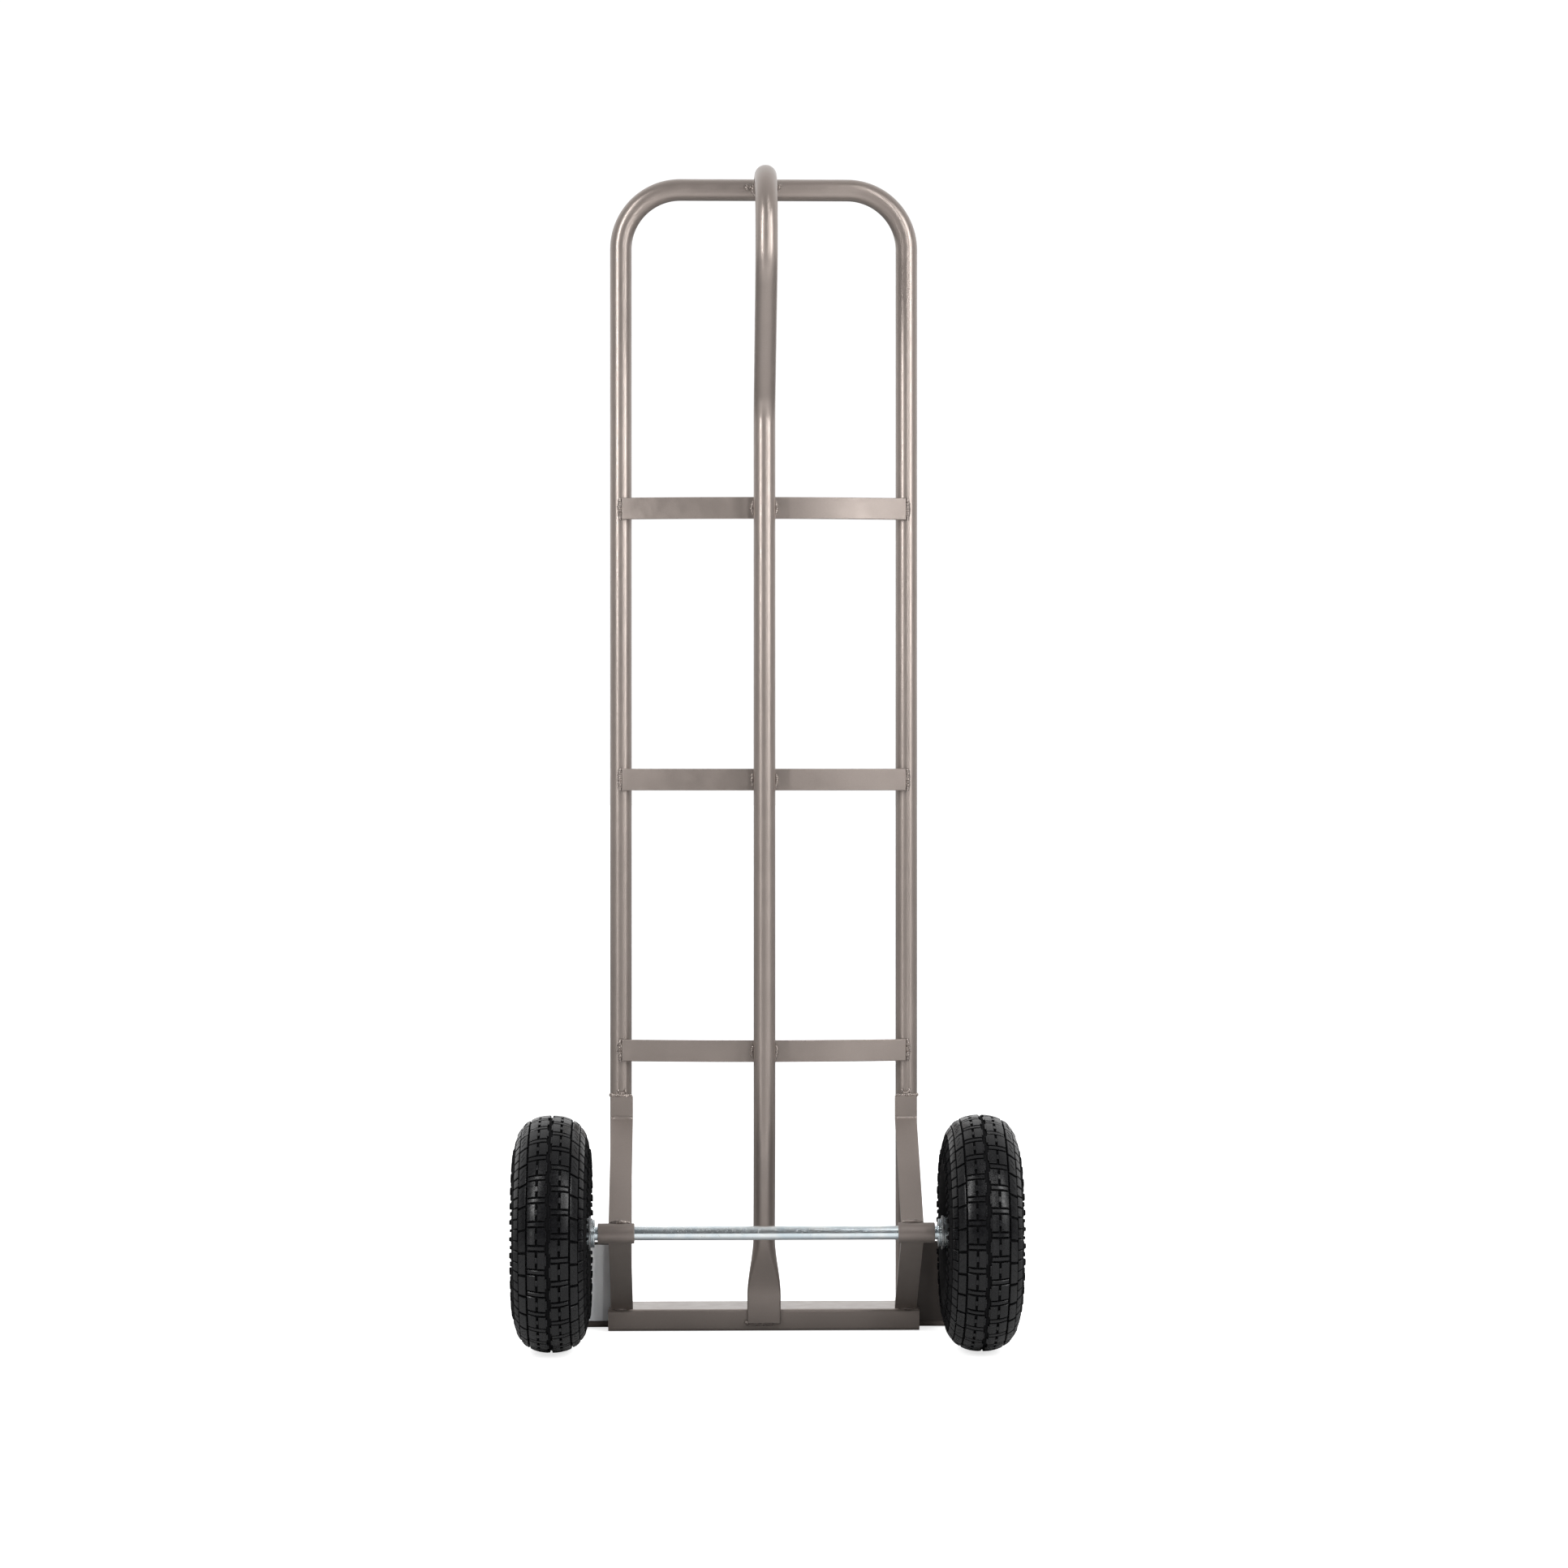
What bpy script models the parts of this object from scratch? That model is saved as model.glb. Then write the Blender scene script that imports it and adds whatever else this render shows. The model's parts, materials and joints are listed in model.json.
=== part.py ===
"""Two-wheeled hand dolly for stacks of chairs: a bent tube frame with a P-shaped
handle, three bowed crossbars, a toe plate with two wheel guards, and a pair of
pneumatic wheels on a through axle.

Metres, +Z up. +Y is the toe plate side, -Y the side where the operator stands.
The origin is on the floor, in the middle of the dolly's overall width and depth.
"""
import math

import bmesh
import bpy
from mathutils import Matrix, Vector

# Clearances and cuts
TOUCH_GAP = 0.0003
RUNNING_GAP = 0.0004
CUT_OVERRUN = 0.004

# Tubes of the frame and the handle
TUBE_DIAMETER = 0.0254
TUBE_WALL = 0.0016
TUBE_SIDES = 20
BORE_SIDES = 8
BEND_STEPS = 6

# Outer frame
FRAME_TOP_AXIS = 1.341
FRAME_CORNER_RADIUS = 0.070

# Base bar under the rails
BASE_SIZE = 0.0254
BASE_WALL = 0.0018
BASE_CORNER_RADIUS = 0.003
BASE_OVERHANG = 0.0022

# Crossbars
CROSSBAR_PITCH = 0.3175
CROSSBAR_HEIGHT = 0.0254
CROSSBAR_THICKNESS = 0.004
CROSSBAR_BOW = 0.016
CROSSBAR_END_INSET = 0.002
CROSSBAR_STEPS = 10
CROSSBAR_NAMES = ("lower_crossbar", "middle_crossbar", "upper_crossbar")

# Centre post and its handle loop
POST_LAP_BOTTOM = 0.010
POST_LAP_TOP = 0.042
POST_ROUND_START = 0.112
POST_SET_BACK_TOP = 0.250
POST_FLAT_WIDTH = 0.0394
POST_FLAT_THICKNESS = 0.0044
POST_LAP_STEPS = 8
HANDLE_LOWER_BEND = 1.083
HANDLE_UPPER_BEND = 1.235
HANDLE_REACH = 0.130
HANDLE_BEND_RADIUS = 0.060
HANDLE_TOP_RADIUS = 0.0762

# Toe plate with its two upturned wheel guards
GUARD_WIDTH = 0.0606
PLATE_DEPTH = 0.1905
PLATE_THICKNESS = 0.004
PLATE_CORNER_RADIUS = 0.020
GUARD_HEIGHT = 0.1016
GUARD_CORNER_RADIUS = 0.010
GUARD_BEND_RADIUS = 0.004
GUARD_RELIEF = 0.003
CORNER_STEPS = 5

# Axle, its sleeves and struts
AXLE_DIAMETER = 0.015875
AXLE_LENGTH = 0.5334
AXLE_CHAMFER = 0.001
AXLE_SET_BACK = 0.160
SLEEVE_DIAMETER = 0.023
SLEEVE_LENGTH = 0.0415
SLEEVE_PAST_RAIL = 0.0232
STRUT_WIDTH = 0.0254
STRUT_THICKNESS = 0.005
STRUT_INSET = 0.0015
STRUT_TAB_TOP = 0.276
STRUT_TAB_HEIGHT = 0.026
STRUT_BEND_RADIUS = 0.008

# Washers and cotter pins
WASHER_DIAMETER = 0.03175
WASHER_THICKNESS = 0.0017
AXLE_SHOWING = 0.0036
COTTER_WIRE = 0.0032
COTTER_HOLE = 0.0042
COTTER_EYE_RADIUS = 0.0042
COTTER_EYE_TURN = math.radians(250)
COTTER_EYE_STEPS = 8
COTTER_STAND_OFF = 0.0016
COTTER_TO_END = 0.00615
COTTER_TAIL = 0.009
COTTER_SIDES = 6

# Wheels
TYRE_DIAMETER = 0.267
TYRE_WIDTH = 0.089
TYRE_TREAD = 0.0085
TYRE_SIDEWALL = 0.0045
TYRE_BEAD_WIDTH = 0.009
TYRE_BEAD_HEIGHT = 0.008
TYRE_SQUARENESS = 2.35
TYRE_SEGMENTS = 32
TYRE_ARC_STEPS = 3
HUB_INBOARD = 0.044
BEAD_RADIUS = 0.0508
TUBE_CLEARANCE = 0.0012
INNER_TUBE_WALL = 0.002
INNER_TUBE_SEGMENTS = 20

# Rim halves, stamped from sheet
RIM_SHEET = 0.002
RIM_HALF_WIDTH = 0.027
RIM_FLANGE_RADIUS = 0.0580
RIM_FLANGE_LIP = 0.004
RIM_WEB_RADIUS = 0.0405
RIM_SHOULDER = 0.0060
RIM_SEGMENTS = 20

# Hub and bearings
HUB_LENGTH = 0.05715
HUB_DIAMETER = 0.035
HUB_WALL = 0.0019
HUB_COLLAR_DIAMETER = 0.044
HUB_COLLAR_THICKNESS = 0.003
BEARING_FLANGE_DIAMETER = 0.0386
BEARING_FLANGE = 0.002
BEARING_DEPTH = 0.010
BEARING_RACE = 0.0036
BEARING_RECESS = 0.0006
SMALL_SEGMENTS = 16

# Rim bolts
BOLT_COUNT = 4
BOLT_CIRCLE_RADIUS = 0.033
BOLT_DIAMETER = 0.008
BOLT_HEAD_WIDTH = 0.0127
BOLT_HEAD_HEIGHT = 0.0053
NUT_HEIGHT = 0.0066
BOLT_TAIL = 0.0025
BOLT_SIDES = 8

# Tyre valve
VALVE_DIAMETER = 0.0075
VALVE_OFFSET = 0.012
VALVE_BEND_HEIGHT = 0.0385
VALVE_REACH = 0.026
VALVE_BEND_RADIUS = 0.0055
VALVE_CAP_DIAMETER = 0.0095
VALVE_CAP_LENGTH = 0.011
VALVE_BORE = 0.003

# Worked out from the sizes above
TUBE_RADIUS = TUBE_DIAMETER / 2
TYRE_RADIUS = TYRE_DIAMETER / 2
AXLE_RADIUS = AXLE_DIAMETER / 2
AXLE_HEIGHT = TYRE_RADIUS
TYRE_WAIST = (TYRE_RADIUS + BEAD_RADIUS) / 2 - TYRE_TREAD
TYRE_SEAT = (BEAD_RADIUS + TOUCH_GAP) / math.cos(math.pi / TYRE_SEGMENTS)
BEAD_OUTER = RIM_HALF_WIDTH - TOUCH_GAP
BEAD_INNER = BEAD_OUTER - TYRE_BEAD_WIDTH
COTTER_X = AXLE_LENGTH / 2 - COTTER_TO_END
WASHER_SPACE = WASHER_THICKNESS + 2 * RUNNING_GAP
HUB_OUTER_FACE = COTTER_X - TOUCH_GAP - COTTER_WIRE / 2 - WASHER_SPACE
HUB_INNER_FACE = HUB_OUTER_FACE - HUB_LENGTH
WHEEL_X = HUB_INNER_FACE + HUB_INBOARD
WHEEL_TO_HUB = HUB_INNER_FACE - WHEEL_X
SLEEVE_OUTER_END = HUB_INNER_FACE - 2 * RUNNING_GAP - 2 * WASHER_THICKNESS - AXLE_SHOWING
RAIL_X = SLEEVE_OUTER_END - SLEEVE_PAST_RAIL
RAIL_SPACING = 2 * RAIL_X
PLATE_WIDTH = 2 * (RAIL_X + GUARD_WIDTH)
TOE_REACH = TUBE_RADIUS + TOUCH_GAP + PLATE_DEPTH
RAIL_Y = (AXLE_SET_BACK + TYRE_RADIUS - TOE_REACH) / 2
AXLE_Y = RAIL_Y - AXLE_SET_BACK
BAR_FACE = TUBE_RADIUS + TOUCH_GAP
POST_SET_BACK = BAR_FACE + CROSSBAR_BOW + CROSSBAR_THICKNESS + TOUCH_GAP + TUBE_RADIUS
PLATE_REAR_Y = RAIL_Y + TUBE_RADIUS + TOUCH_GAP
BORE_RADIUS = AXLE_RADIUS + RUNNING_GAP

# Colour, roughness and metallic value of each finish
FINISHES = {
    "satin_taupe_paint": ((0.205, 0.185, 0.165), 0.34, 0.55),
    "zinc_plate": ((0.62, 0.66, 0.68), 0.28, 1.0),
    "tyre_rubber": ((0.018, 0.018, 0.019), 0.62, 0.0),
    "tube_rubber": ((0.03, 0.03, 0.03), 0.7, 0.0),
    "rim_steel": ((0.55, 0.56, 0.57), 0.35, 0.9),
    "bearing_steel": ((0.45, 0.46, 0.47), 0.3, 1.0),
    "cap_plastic": ((0.02, 0.02, 0.02), 0.45, 0.0),
}


def clear_scene():
    for thing in list(bpy.data.objects):
        bpy.data.objects.remove(thing, do_unlink=True)


def finish(name):
    """The Principled material of that name, made once for each object that asks."""
    colour, roughness, metallic = FINISHES[name]
    material = bpy.data.materials.new(name)
    material.use_nodes = True
    shader = material.node_tree.nodes["Principled BSDF"]
    shader.inputs["Base Color"].default_value = (*colour, 1.0)
    shader.inputs["Roughness"].default_value = roughness
    shader.inputs["Metallic"].default_value = metallic
    return material


def place(name, shape, finish_name, parent=None, matrix=None):
    """Turns a bmesh into a named object with its own material."""
    mesh = bpy.data.meshes.new(name)
    shape.to_mesh(mesh)
    shape.free()
    mesh.shade_smooth()
    mesh.set_sharp_from_angle(angle=math.radians(32))
    mesh.materials.append(finish(finish_name))
    piece = bpy.data.objects.new(name, mesh)
    bpy.context.scene.collection.objects.link(piece)
    piece.parent = parent
    if matrix is not None:
        piece.matrix_local = matrix
    return piece


def skin(rings, joined=False):
    """A closed bmesh through rings with equal counts, capped unless the last meets the first."""
    shape = bmesh.new()
    rows = [[shape.verts.new(point) for point in ring] for ring in rings]
    pairs = list(zip(rows, rows[1:]))
    if joined:
        pairs.append((rows[-1], rows[0]))
    count = len(rings[0])
    for first, second in pairs:
        for index in range(count):
            after = (index + 1) % count
            shape.faces.new((first[index], first[after], second[after], second[index]))
    if not joined:
        shape.faces.new(rows[0])
        shape.faces.new(rows[-1])
    bmesh.ops.recalc_face_normals(shape, faces=shape.faces)
    return shape


def turned(profile, segments, start=-math.pi / 2):
    """A closed profile of (x, radius) points turned about the X axis."""
    rings = []
    for step in range(segments):
        angle = start + 2 * math.pi * step / segments
        across = math.cos(angle)
        up = math.sin(angle)
        rings.append([Vector((x, radius * across, radius * up)) for x, radius in profile])
    return skin(rings, joined=True)


def prism(outline, start, end, axis):
    """An outline extruded along X or Y; its points are the other two coordinates."""
    if axis == "X":
        rings = [[Vector((along, a, b)) for a, b in outline] for along in (start, end)]
    else:
        rings = [[Vector((a, along, b)) for a, b in outline] for along in (start, end)]
    return skin(rings)


def rod(radius, start, end, sides, axis="X"):
    """A round bar along X, Y or Z."""
    rings = []
    for along in (start, end):
        ring = []
        for step in range(sides):
            angle = 2 * math.pi * (step + 0.5) / sides
            a = radius * math.cos(angle)
            b = radius * math.sin(angle)
            ring.append(Vector({"X": (along, a, b), "Y": (a, along, b), "Z": (a, b, along)}[axis]))
        rings.append(ring)
    return skin(rings)


def cut(piece, shapes, operation="DIFFERENCE"):
    """Applies each cutter shape, given in the piece's own frame, as an exact Boolean."""
    for index, shape in enumerate(shapes):
        mesh = bpy.data.meshes.new(f"{piece.name}_cutter_{index}")
        shape.to_mesh(mesh)
        shape.free()
        cutter = bpy.data.objects.new(f"{piece.name}_cutter_{index}", mesh)
        bpy.context.scene.collection.objects.link(cutter)
        cutter.parent = piece
        cutter.hide_render = True
        cutter.display_type = "WIRE"
        modifier = piece.modifiers.new(f"cut_{index}", "BOOLEAN")
        modifier.operation = operation
        modifier.solver = "EXACT"
        modifier.object = cutter


def filleted(corners, radii, steps):
    """Points and directions along straight runs joined by arcs at the inner corners."""
    path = [(corners[0], (corners[1] - corners[0]).normalized())]
    for before, corner, after, radius in zip(corners, corners[1:], corners[2:], radii):
        inward = (corner - before).normalized()
        outward = (after - corner).normalized()
        turn = inward.angle(outward)
        reach = radius * math.tan(turn / 2)
        axis = inward.cross(outward).normalized()
        start = corner - inward * reach
        centre = start + axis.cross(inward) * radius
        for step in range(steps + 1):
            spin = Matrix.Rotation(turn * step / steps, 3, axis)
            path.append((centre + spin @ (start - centre), spin @ inward))
    path.append((corners[-1], (corners[-1] - corners[-2]).normalized()))
    return path


def section(point, direction, side, half_width, half_depth, sides):
    """A round or flattened ring square to a path that keeps to one plane."""
    normal = side.cross(direction)
    spread = half_width - half_depth
    ring = []
    for step in range(sides):
        angle = 2 * math.pi * (step + 0.5) / sides
        across = half_depth * math.cos(angle) + math.copysign(spread, math.cos(angle))
        ring.append(point + side * across + normal * (half_depth * math.sin(angle)))
    return ring


def pipe(path, side, widths, depths, wall):
    """A hollow tube along a plane path, open at both ends."""
    count = TUBE_SIDES
    outer = [section(point, direction, side, width, depth, count)
             for (point, direction), width, depth in zip(path, widths, depths)]
    inner = [section(point, direction, side, width - wall, depth - wall, count)
             for (point, direction), width, depth in zip(path, widths, depths)]
    return skin(outer + inner[::-1], joined=True)


def wire(path, side, radius, sides):
    """A solid round wire along a plane path."""
    return skin([section(point, direction, side, radius, radius, sides)
                 for point, direction in path])


def blend(share):
    """Smooth step from 0 to 1."""
    share = min(max(share, 0.0), 1.0)
    return share * share * (3 - 2 * share)


def rounded_corner(centre_a, centre_b, radius, start_angle, steps):
    """Points of a quarter circle in a plane, counted from the start angle."""
    points = []
    for step in range(steps + 1):
        angle = start_angle + math.pi / 2 * step / steps
        points.append((centre_a + radius * math.cos(angle), centre_b + radius * math.sin(angle)))
    return points


def rounded_square(half, radius, steps):
    """Outline of a square section with round corners."""
    inset = half - radius
    points = []
    for quarter, (a, b) in enumerate(((1, 1), (-1, 1), (-1, -1), (1, -1))):
        points += rounded_corner(a * inset, b * inset, radius, quarter * math.pi / 2, steps)
    return points


def build_outer_frame():
    bottom = BASE_SIZE + TOUCH_GAP
    corners = [Vector((-RAIL_X, RAIL_Y, bottom)), Vector((-RAIL_X, RAIL_Y, FRAME_TOP_AXIS)),
               Vector((RAIL_X, RAIL_Y, FRAME_TOP_AXIS)), Vector((RAIL_X, RAIL_Y, bottom))]
    path = filleted(corners, [FRAME_CORNER_RADIUS] * 2, BEND_STEPS)
    radii = [TUBE_RADIUS] * len(path)
    shape = pipe(path, Vector((0, 1, 0)), radii, radii, TUBE_WALL)
    place("outer_frame", shape, "satin_taupe_paint")


def build_base_bar():
    half = BASE_SIZE / 2
    length = RAIL_SPACING + TUBE_DIAMETER + 2 * BASE_OVERHANG
    outer = rounded_square(half, BASE_CORNER_RADIUS, 2)
    inner = rounded_square(half - BASE_WALL, BASE_CORNER_RADIUS - BASE_WALL, 2)
    rings = []
    for outline, ends in ((outer, (-1, 1)), (inner, (1, -1))):
        for end in ends:
            rings.append([Vector((end * length / 2, RAIL_Y + a, half + b)) for a, b in outline])
    place("base_bar", skin(rings, joined=True), "satin_taupe_paint")


def build_crossbars():
    """Flat bars bowed to the rear; a bar's front face passes the rails at the touch gap."""
    deepest = BAR_FACE + CROSSBAR_BOW
    front_radius = (RAIL_X ** 2 + deepest ** 2 - BAR_FACE ** 2) / (2 * CROSSBAR_BOW)
    centre_y = RAIL_Y + front_radius - deepest
    half_angle = math.asin((RAIL_X - CROSSBAR_END_INSET) / front_radius)
    outline = []
    for radius, way in ((front_radius, 1), (front_radius + CROSSBAR_THICKNESS, -1)):
        for step in range(CROSSBAR_STEPS + 1):
            angle = way * half_angle * (2 * step / CROSSBAR_STEPS - 1)
            outline.append((radius * math.sin(angle), centre_y - radius * math.cos(angle)))
    for order, name in enumerate(CROSSBAR_NAMES, start=1):
        middle = BASE_SIZE / 2 + order * CROSSBAR_PITCH
        rings = [[Vector((x, y, middle + end * CROSSBAR_HEIGHT / 2)) for x, y in outline]
                 for end in (-1, 1)]
        place(name, skin(rings), "satin_taupe_paint")


def build_centre_post():
    """Tube flattened where it laps the base bar, set back behind the crossbars, and bent
    into the handle loop that comes forward to the top of the outer frame."""
    post_y = RAIL_Y - POST_SET_BACK
    lap_y = RAIL_Y - BAR_FACE - POST_FLAT_THICKNESS / 2
    grip_y = post_y - HANDLE_REACH
    heights = [POST_LAP_BOTTOM, POST_LAP_TOP]
    for step in range(1, POST_LAP_STEPS + 1):
        heights.append(POST_LAP_TOP + (POST_SET_BACK_TOP - POST_LAP_TOP) * step / POST_LAP_STEPS)
    path, widths, depths = [], [], []
    for height in heights:
        lean = (height - POST_LAP_TOP) / (POST_SET_BACK_TOP - POST_LAP_TOP)
        roundness = blend((height - POST_LAP_TOP) / (POST_ROUND_START - POST_LAP_TOP))
        path.append((Vector((0, lap_y + (post_y - lap_y) * blend(lean), height)), Vector((0, 0, 1))))
        widths.append(POST_FLAT_WIDTH / 2 + (TUBE_RADIUS - POST_FLAT_WIDTH / 2) * roundness)
        depths.append(POST_FLAT_THICKNESS / 2 + (TUBE_RADIUS - POST_FLAT_THICKNESS / 2) * roundness)
    corners = [Vector((0, post_y, POST_SET_BACK_TOP)), Vector((0, post_y, HANDLE_LOWER_BEND)),
               Vector((0, grip_y, HANDLE_UPPER_BEND)), Vector((0, grip_y, FRAME_TOP_AXIS)),
               Vector((0, RAIL_Y, FRAME_TOP_AXIS))]
    radii = [HANDLE_BEND_RADIUS, HANDLE_BEND_RADIUS, HANDLE_TOP_RADIUS]
    loop = filleted(corners, radii, BEND_STEPS)[1:]
    path += loop
    widths += [TUBE_RADIUS] * len(loop)
    depths += [TUBE_RADIUS] * len(loop)
    shape = pipe(path, Vector((1, 0, 0)), widths, depths, TUBE_WALL)
    post = place("centre_post_handle", shape, "satin_taupe_paint")
    saddle = rod(BAR_FACE, -TUBE_DIAMETER, TUBE_DIAMETER, TUBE_SIDES)
    bmesh.ops.translate(saddle, verts=saddle.verts, vec=(0, RAIL_Y, FRAME_TOP_AXIS))
    cut(post, [saddle])


def build_toe_plate():
    """One sheet: a flat plate on the floor and two guards turned up in front of the wheels."""
    half = PLATE_WIDTH / 2
    rear = PLATE_REAR_Y
    front = rear + PLATE_DEPTH
    guard_inner = RAIL_X
    fold = GUARD_BEND_RADIUS + PLATE_THICKNESS
    notch = guard_inner - GUARD_RELIEF
    right_front = rounded_corner(half - PLATE_CORNER_RADIUS, front - PLATE_CORNER_RADIUS,
                                 PLATE_CORNER_RADIUS, 0, CORNER_STEPS)
    right_side = [(notch, rear), (notch, rear + fold), (half, rear + fold)] + right_front
    outline = right_side + [(-x, y) for x, y in reversed(right_side)]
    rings = [[Vector((x, y, level)) for x, y in outline] for level in (0.0, PLATE_THICKNESS)]
    plate = place("toe_plate", skin(rings), "satin_taupe_paint")
    guards = []
    for side in (-1, 1):
        guards.append(guard_shape(side, guard_inner, half, rear, fold))
    cut(plate, guards, "UNION")


def guard_shape(side, inner, outer, rear, fold):
    """A wheel guard with its bend; its foot overlaps the flat plate so that the two unite."""
    width = outer - inner
    foot = rear + fold + CUT_OVERRUN
    profile = [(foot, 0.0)]
    profile += [(a, b) for a, b in reversed(
        rounded_corner(rear + fold, fold, fold, math.pi, CORNER_STEPS))]
    straight_top = GUARD_HEIGHT - GUARD_CORNER_RADIUS
    profile += [(rear, straight_top), (rear + PLATE_THICKNESS, straight_top)]
    profile += rounded_corner(rear + fold, fold, GUARD_BEND_RADIUS, math.pi, CORNER_STEPS)
    profile.append((foot, PLATE_THICKNESS))
    low, high = sorted((side * inner, side * outer))
    shape = prism(profile, low, high, "X")
    crown_inset = GUARD_CORNER_RADIUS
    crown = rounded_corner(width / 2 - crown_inset, straight_top, GUARD_CORNER_RADIUS, 0, CORNER_STEPS)
    crown += rounded_corner(crown_inset - width / 2, straight_top, GUARD_CORNER_RADIUS,
                            math.pi / 2, CORNER_STEPS)
    middle = side * (inner + outer) / 2
    top_face = max((face for face in shape.faces if face.normal.z > 0.9),
                   key=lambda face: face.calc_center_median().z)
    shape.faces.remove(top_face)
    rear_edge = [shape.verts.new(Vector((middle + x, rear, z))) for x, z in crown[1:-1]]
    front_edge = [shape.verts.new(Vector((middle + x, rear + PLATE_THICKNESS, z)))
                  for x, z in crown[1:-1]]
    close_crown(shape, rear_edge, front_edge, straight_top)
    return shape


def close_crown(shape, rear_edge, front_edge, level):
    """Fills between the open top of a guard and its rounded crown."""
    open_loop = [vert for vert in shape.verts if abs(vert.co.z - level) < TOUCH_GAP
                 and vert not in rear_edge and vert not in front_edge]
    rear_y = min(vert.co.y for vert in open_loop)
    rear_ends = sorted((v for v in open_loop if abs(v.co.y - rear_y) < TOUCH_GAP),
                       key=lambda v: -v.co.x)
    front_ends = sorted((v for v in open_loop if abs(v.co.y - rear_y) >= TOUCH_GAP),
                        key=lambda v: -v.co.x)
    rear_line = [rear_ends[0]] + rear_edge + [rear_ends[-1]]
    front_line = [front_ends[0]] + front_edge + [front_ends[-1]]
    shape.faces.new(rear_line)
    shape.faces.new(front_line)
    for index in range(len(rear_line) - 1):
        shape.faces.new((rear_line[index], rear_line[index + 1],
                         front_line[index + 1], front_line[index]))
    bmesh.ops.recalc_face_normals(shape, faces=shape.faces)


def build_axle():
    half = AXLE_LENGTH / 2
    rings = []
    for x, radius in ((-half, AXLE_RADIUS - AXLE_CHAMFER), (AXLE_CHAMFER - half, AXLE_RADIUS),
                      (half - AXLE_CHAMFER, AXLE_RADIUS), (half, AXLE_RADIUS - AXLE_CHAMFER)):
        ring = []
        for step in range(TUBE_SIDES):
            angle = 2 * math.pi * (step + 0.5) / TUBE_SIDES
            ring.append(Vector((x, radius * math.cos(angle), radius * math.sin(angle))))
        rings.append(ring)
    axle = place("axle", skin(rings), "zinc_plate", matrix=Matrix.Translation((0, AXLE_Y, AXLE_HEIGHT)))
    reach = AXLE_RADIUS + CUT_OVERRUN
    holes = []
    for side in (-1, 1):
        hole = rod(COTTER_HOLE / 2, -reach, reach, BORE_SIDES, "Z")
        bmesh.ops.translate(hole, verts=hole.verts, vec=(side * COTTER_X, 0, 0))
        holes.append(hole)
    cut(axle, holes)


def build_axle_mount(side, word):
    """A sleeve round the axle, held by an upper and a lower strut behind the rail."""
    inner = SLEEVE_OUTER_END - SLEEVE_LENGTH
    radius = SLEEVE_DIAMETER / 2
    ends = sorted((side * inner, side * SLEEVE_OUTER_END))
    profile = [(ends[0], BORE_RADIUS), (ends[1], BORE_RADIUS), (ends[1], radius), (ends[0], radius)]
    matrix = Matrix.Translation((0, AXLE_Y, AXLE_HEIGHT))
    place(f"{word}_axle_sleeve", turned(profile, SMALL_SEGMENTS), "satin_taupe_paint", matrix=matrix)
    build_upper_strut(side, word)
    build_lower_strut(side, word)


def strut_prism(side, centreline):
    """A flat strap of the strut's thickness along a centreline of (y, z) and directions."""
    half = STRUT_THICKNESS / 2
    one_face, other_face = [], []
    for point, direction in centreline:
        normal = Vector((0, -direction.z, direction.y))
        one_face.append(point + normal * half)
        other_face.append(point - normal * half)
    outline = [(point.y, point.z) for point in one_face + other_face[::-1]]
    middle = side * (RAIL_X - STRUT_INSET)
    return prism(outline, middle - STRUT_WIDTH / 2, middle + STRUT_WIDTH / 2, "X")


def sleeve_cutter():
    cutter = rod(SLEEVE_DIAMETER / 2 + TOUCH_GAP, -WHEEL_X, WHEEL_X, TUBE_SIDES)
    bmesh.ops.translate(cutter, verts=cutter.verts, vec=(0, AXLE_Y, AXLE_HEIGHT))
    return cutter


def build_upper_strut(side, word):
    tab_y = RAIL_Y - BAR_FACE - STRUT_THICKNESS / 2
    corners = [Vector((0, tab_y, STRUT_TAB_TOP)), Vector((0, tab_y, STRUT_TAB_TOP - STRUT_TAB_HEIGHT)),
               Vector((0, AXLE_Y, AXLE_HEIGHT))]
    centreline = filleted(corners, [STRUT_BEND_RADIUS], 3)
    strut = place(f"{word}_upper_strut", strut_prism(side, centreline), "satin_taupe_paint")
    cut(strut, [sleeve_cutter()])


def build_lower_strut(side, word):
    """Runs from the sleeve to the foot of the rail, just above the base bar."""
    start = Vector((0, AXLE_Y, AXLE_HEIGHT))
    face_y = RAIL_Y - BAR_FACE
    run = face_y - AXLE_Y
    fall = AXLE_HEIGHT - BASE_SIZE - TOUCH_GAP
    drop = fall - STRUT_THICKNESS / 2 / math.cos(math.atan2(fall, run))
    foot = Vector((0, face_y + CUT_OVERRUN, AXLE_HEIGHT - drop * (run + CUT_OVERRUN) / run))
    direction = (foot - start).normalized()
    strut = place(f"{word}_lower_strut", strut_prism(side, [(start, direction), (foot, direction)]),
                  "satin_taupe_paint")
    trim = prism([(face_y, -CUT_OVERRUN), (face_y, AXLE_HEIGHT), (face_y + TUBE_DIAMETER, AXLE_HEIGHT),
                  (face_y + TUBE_DIAMETER, -CUT_OVERRUN)], -WHEEL_X, WHEEL_X, "X")
    cut(strut, [sleeve_cutter(), trim])


def build_washer(name, start, parent=None):
    profile = [(start, BORE_RADIUS), (start + WASHER_THICKNESS, BORE_RADIUS),
               (start + WASHER_THICKNESS, WASHER_DIAMETER / 2), (start, WASHER_DIAMETER / 2)]
    matrix = Matrix.Translation((0, AXLE_Y, AXLE_HEIGHT))
    place(name, turned(profile, SMALL_SEGMENTS), "zinc_plate", parent, matrix)


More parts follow.
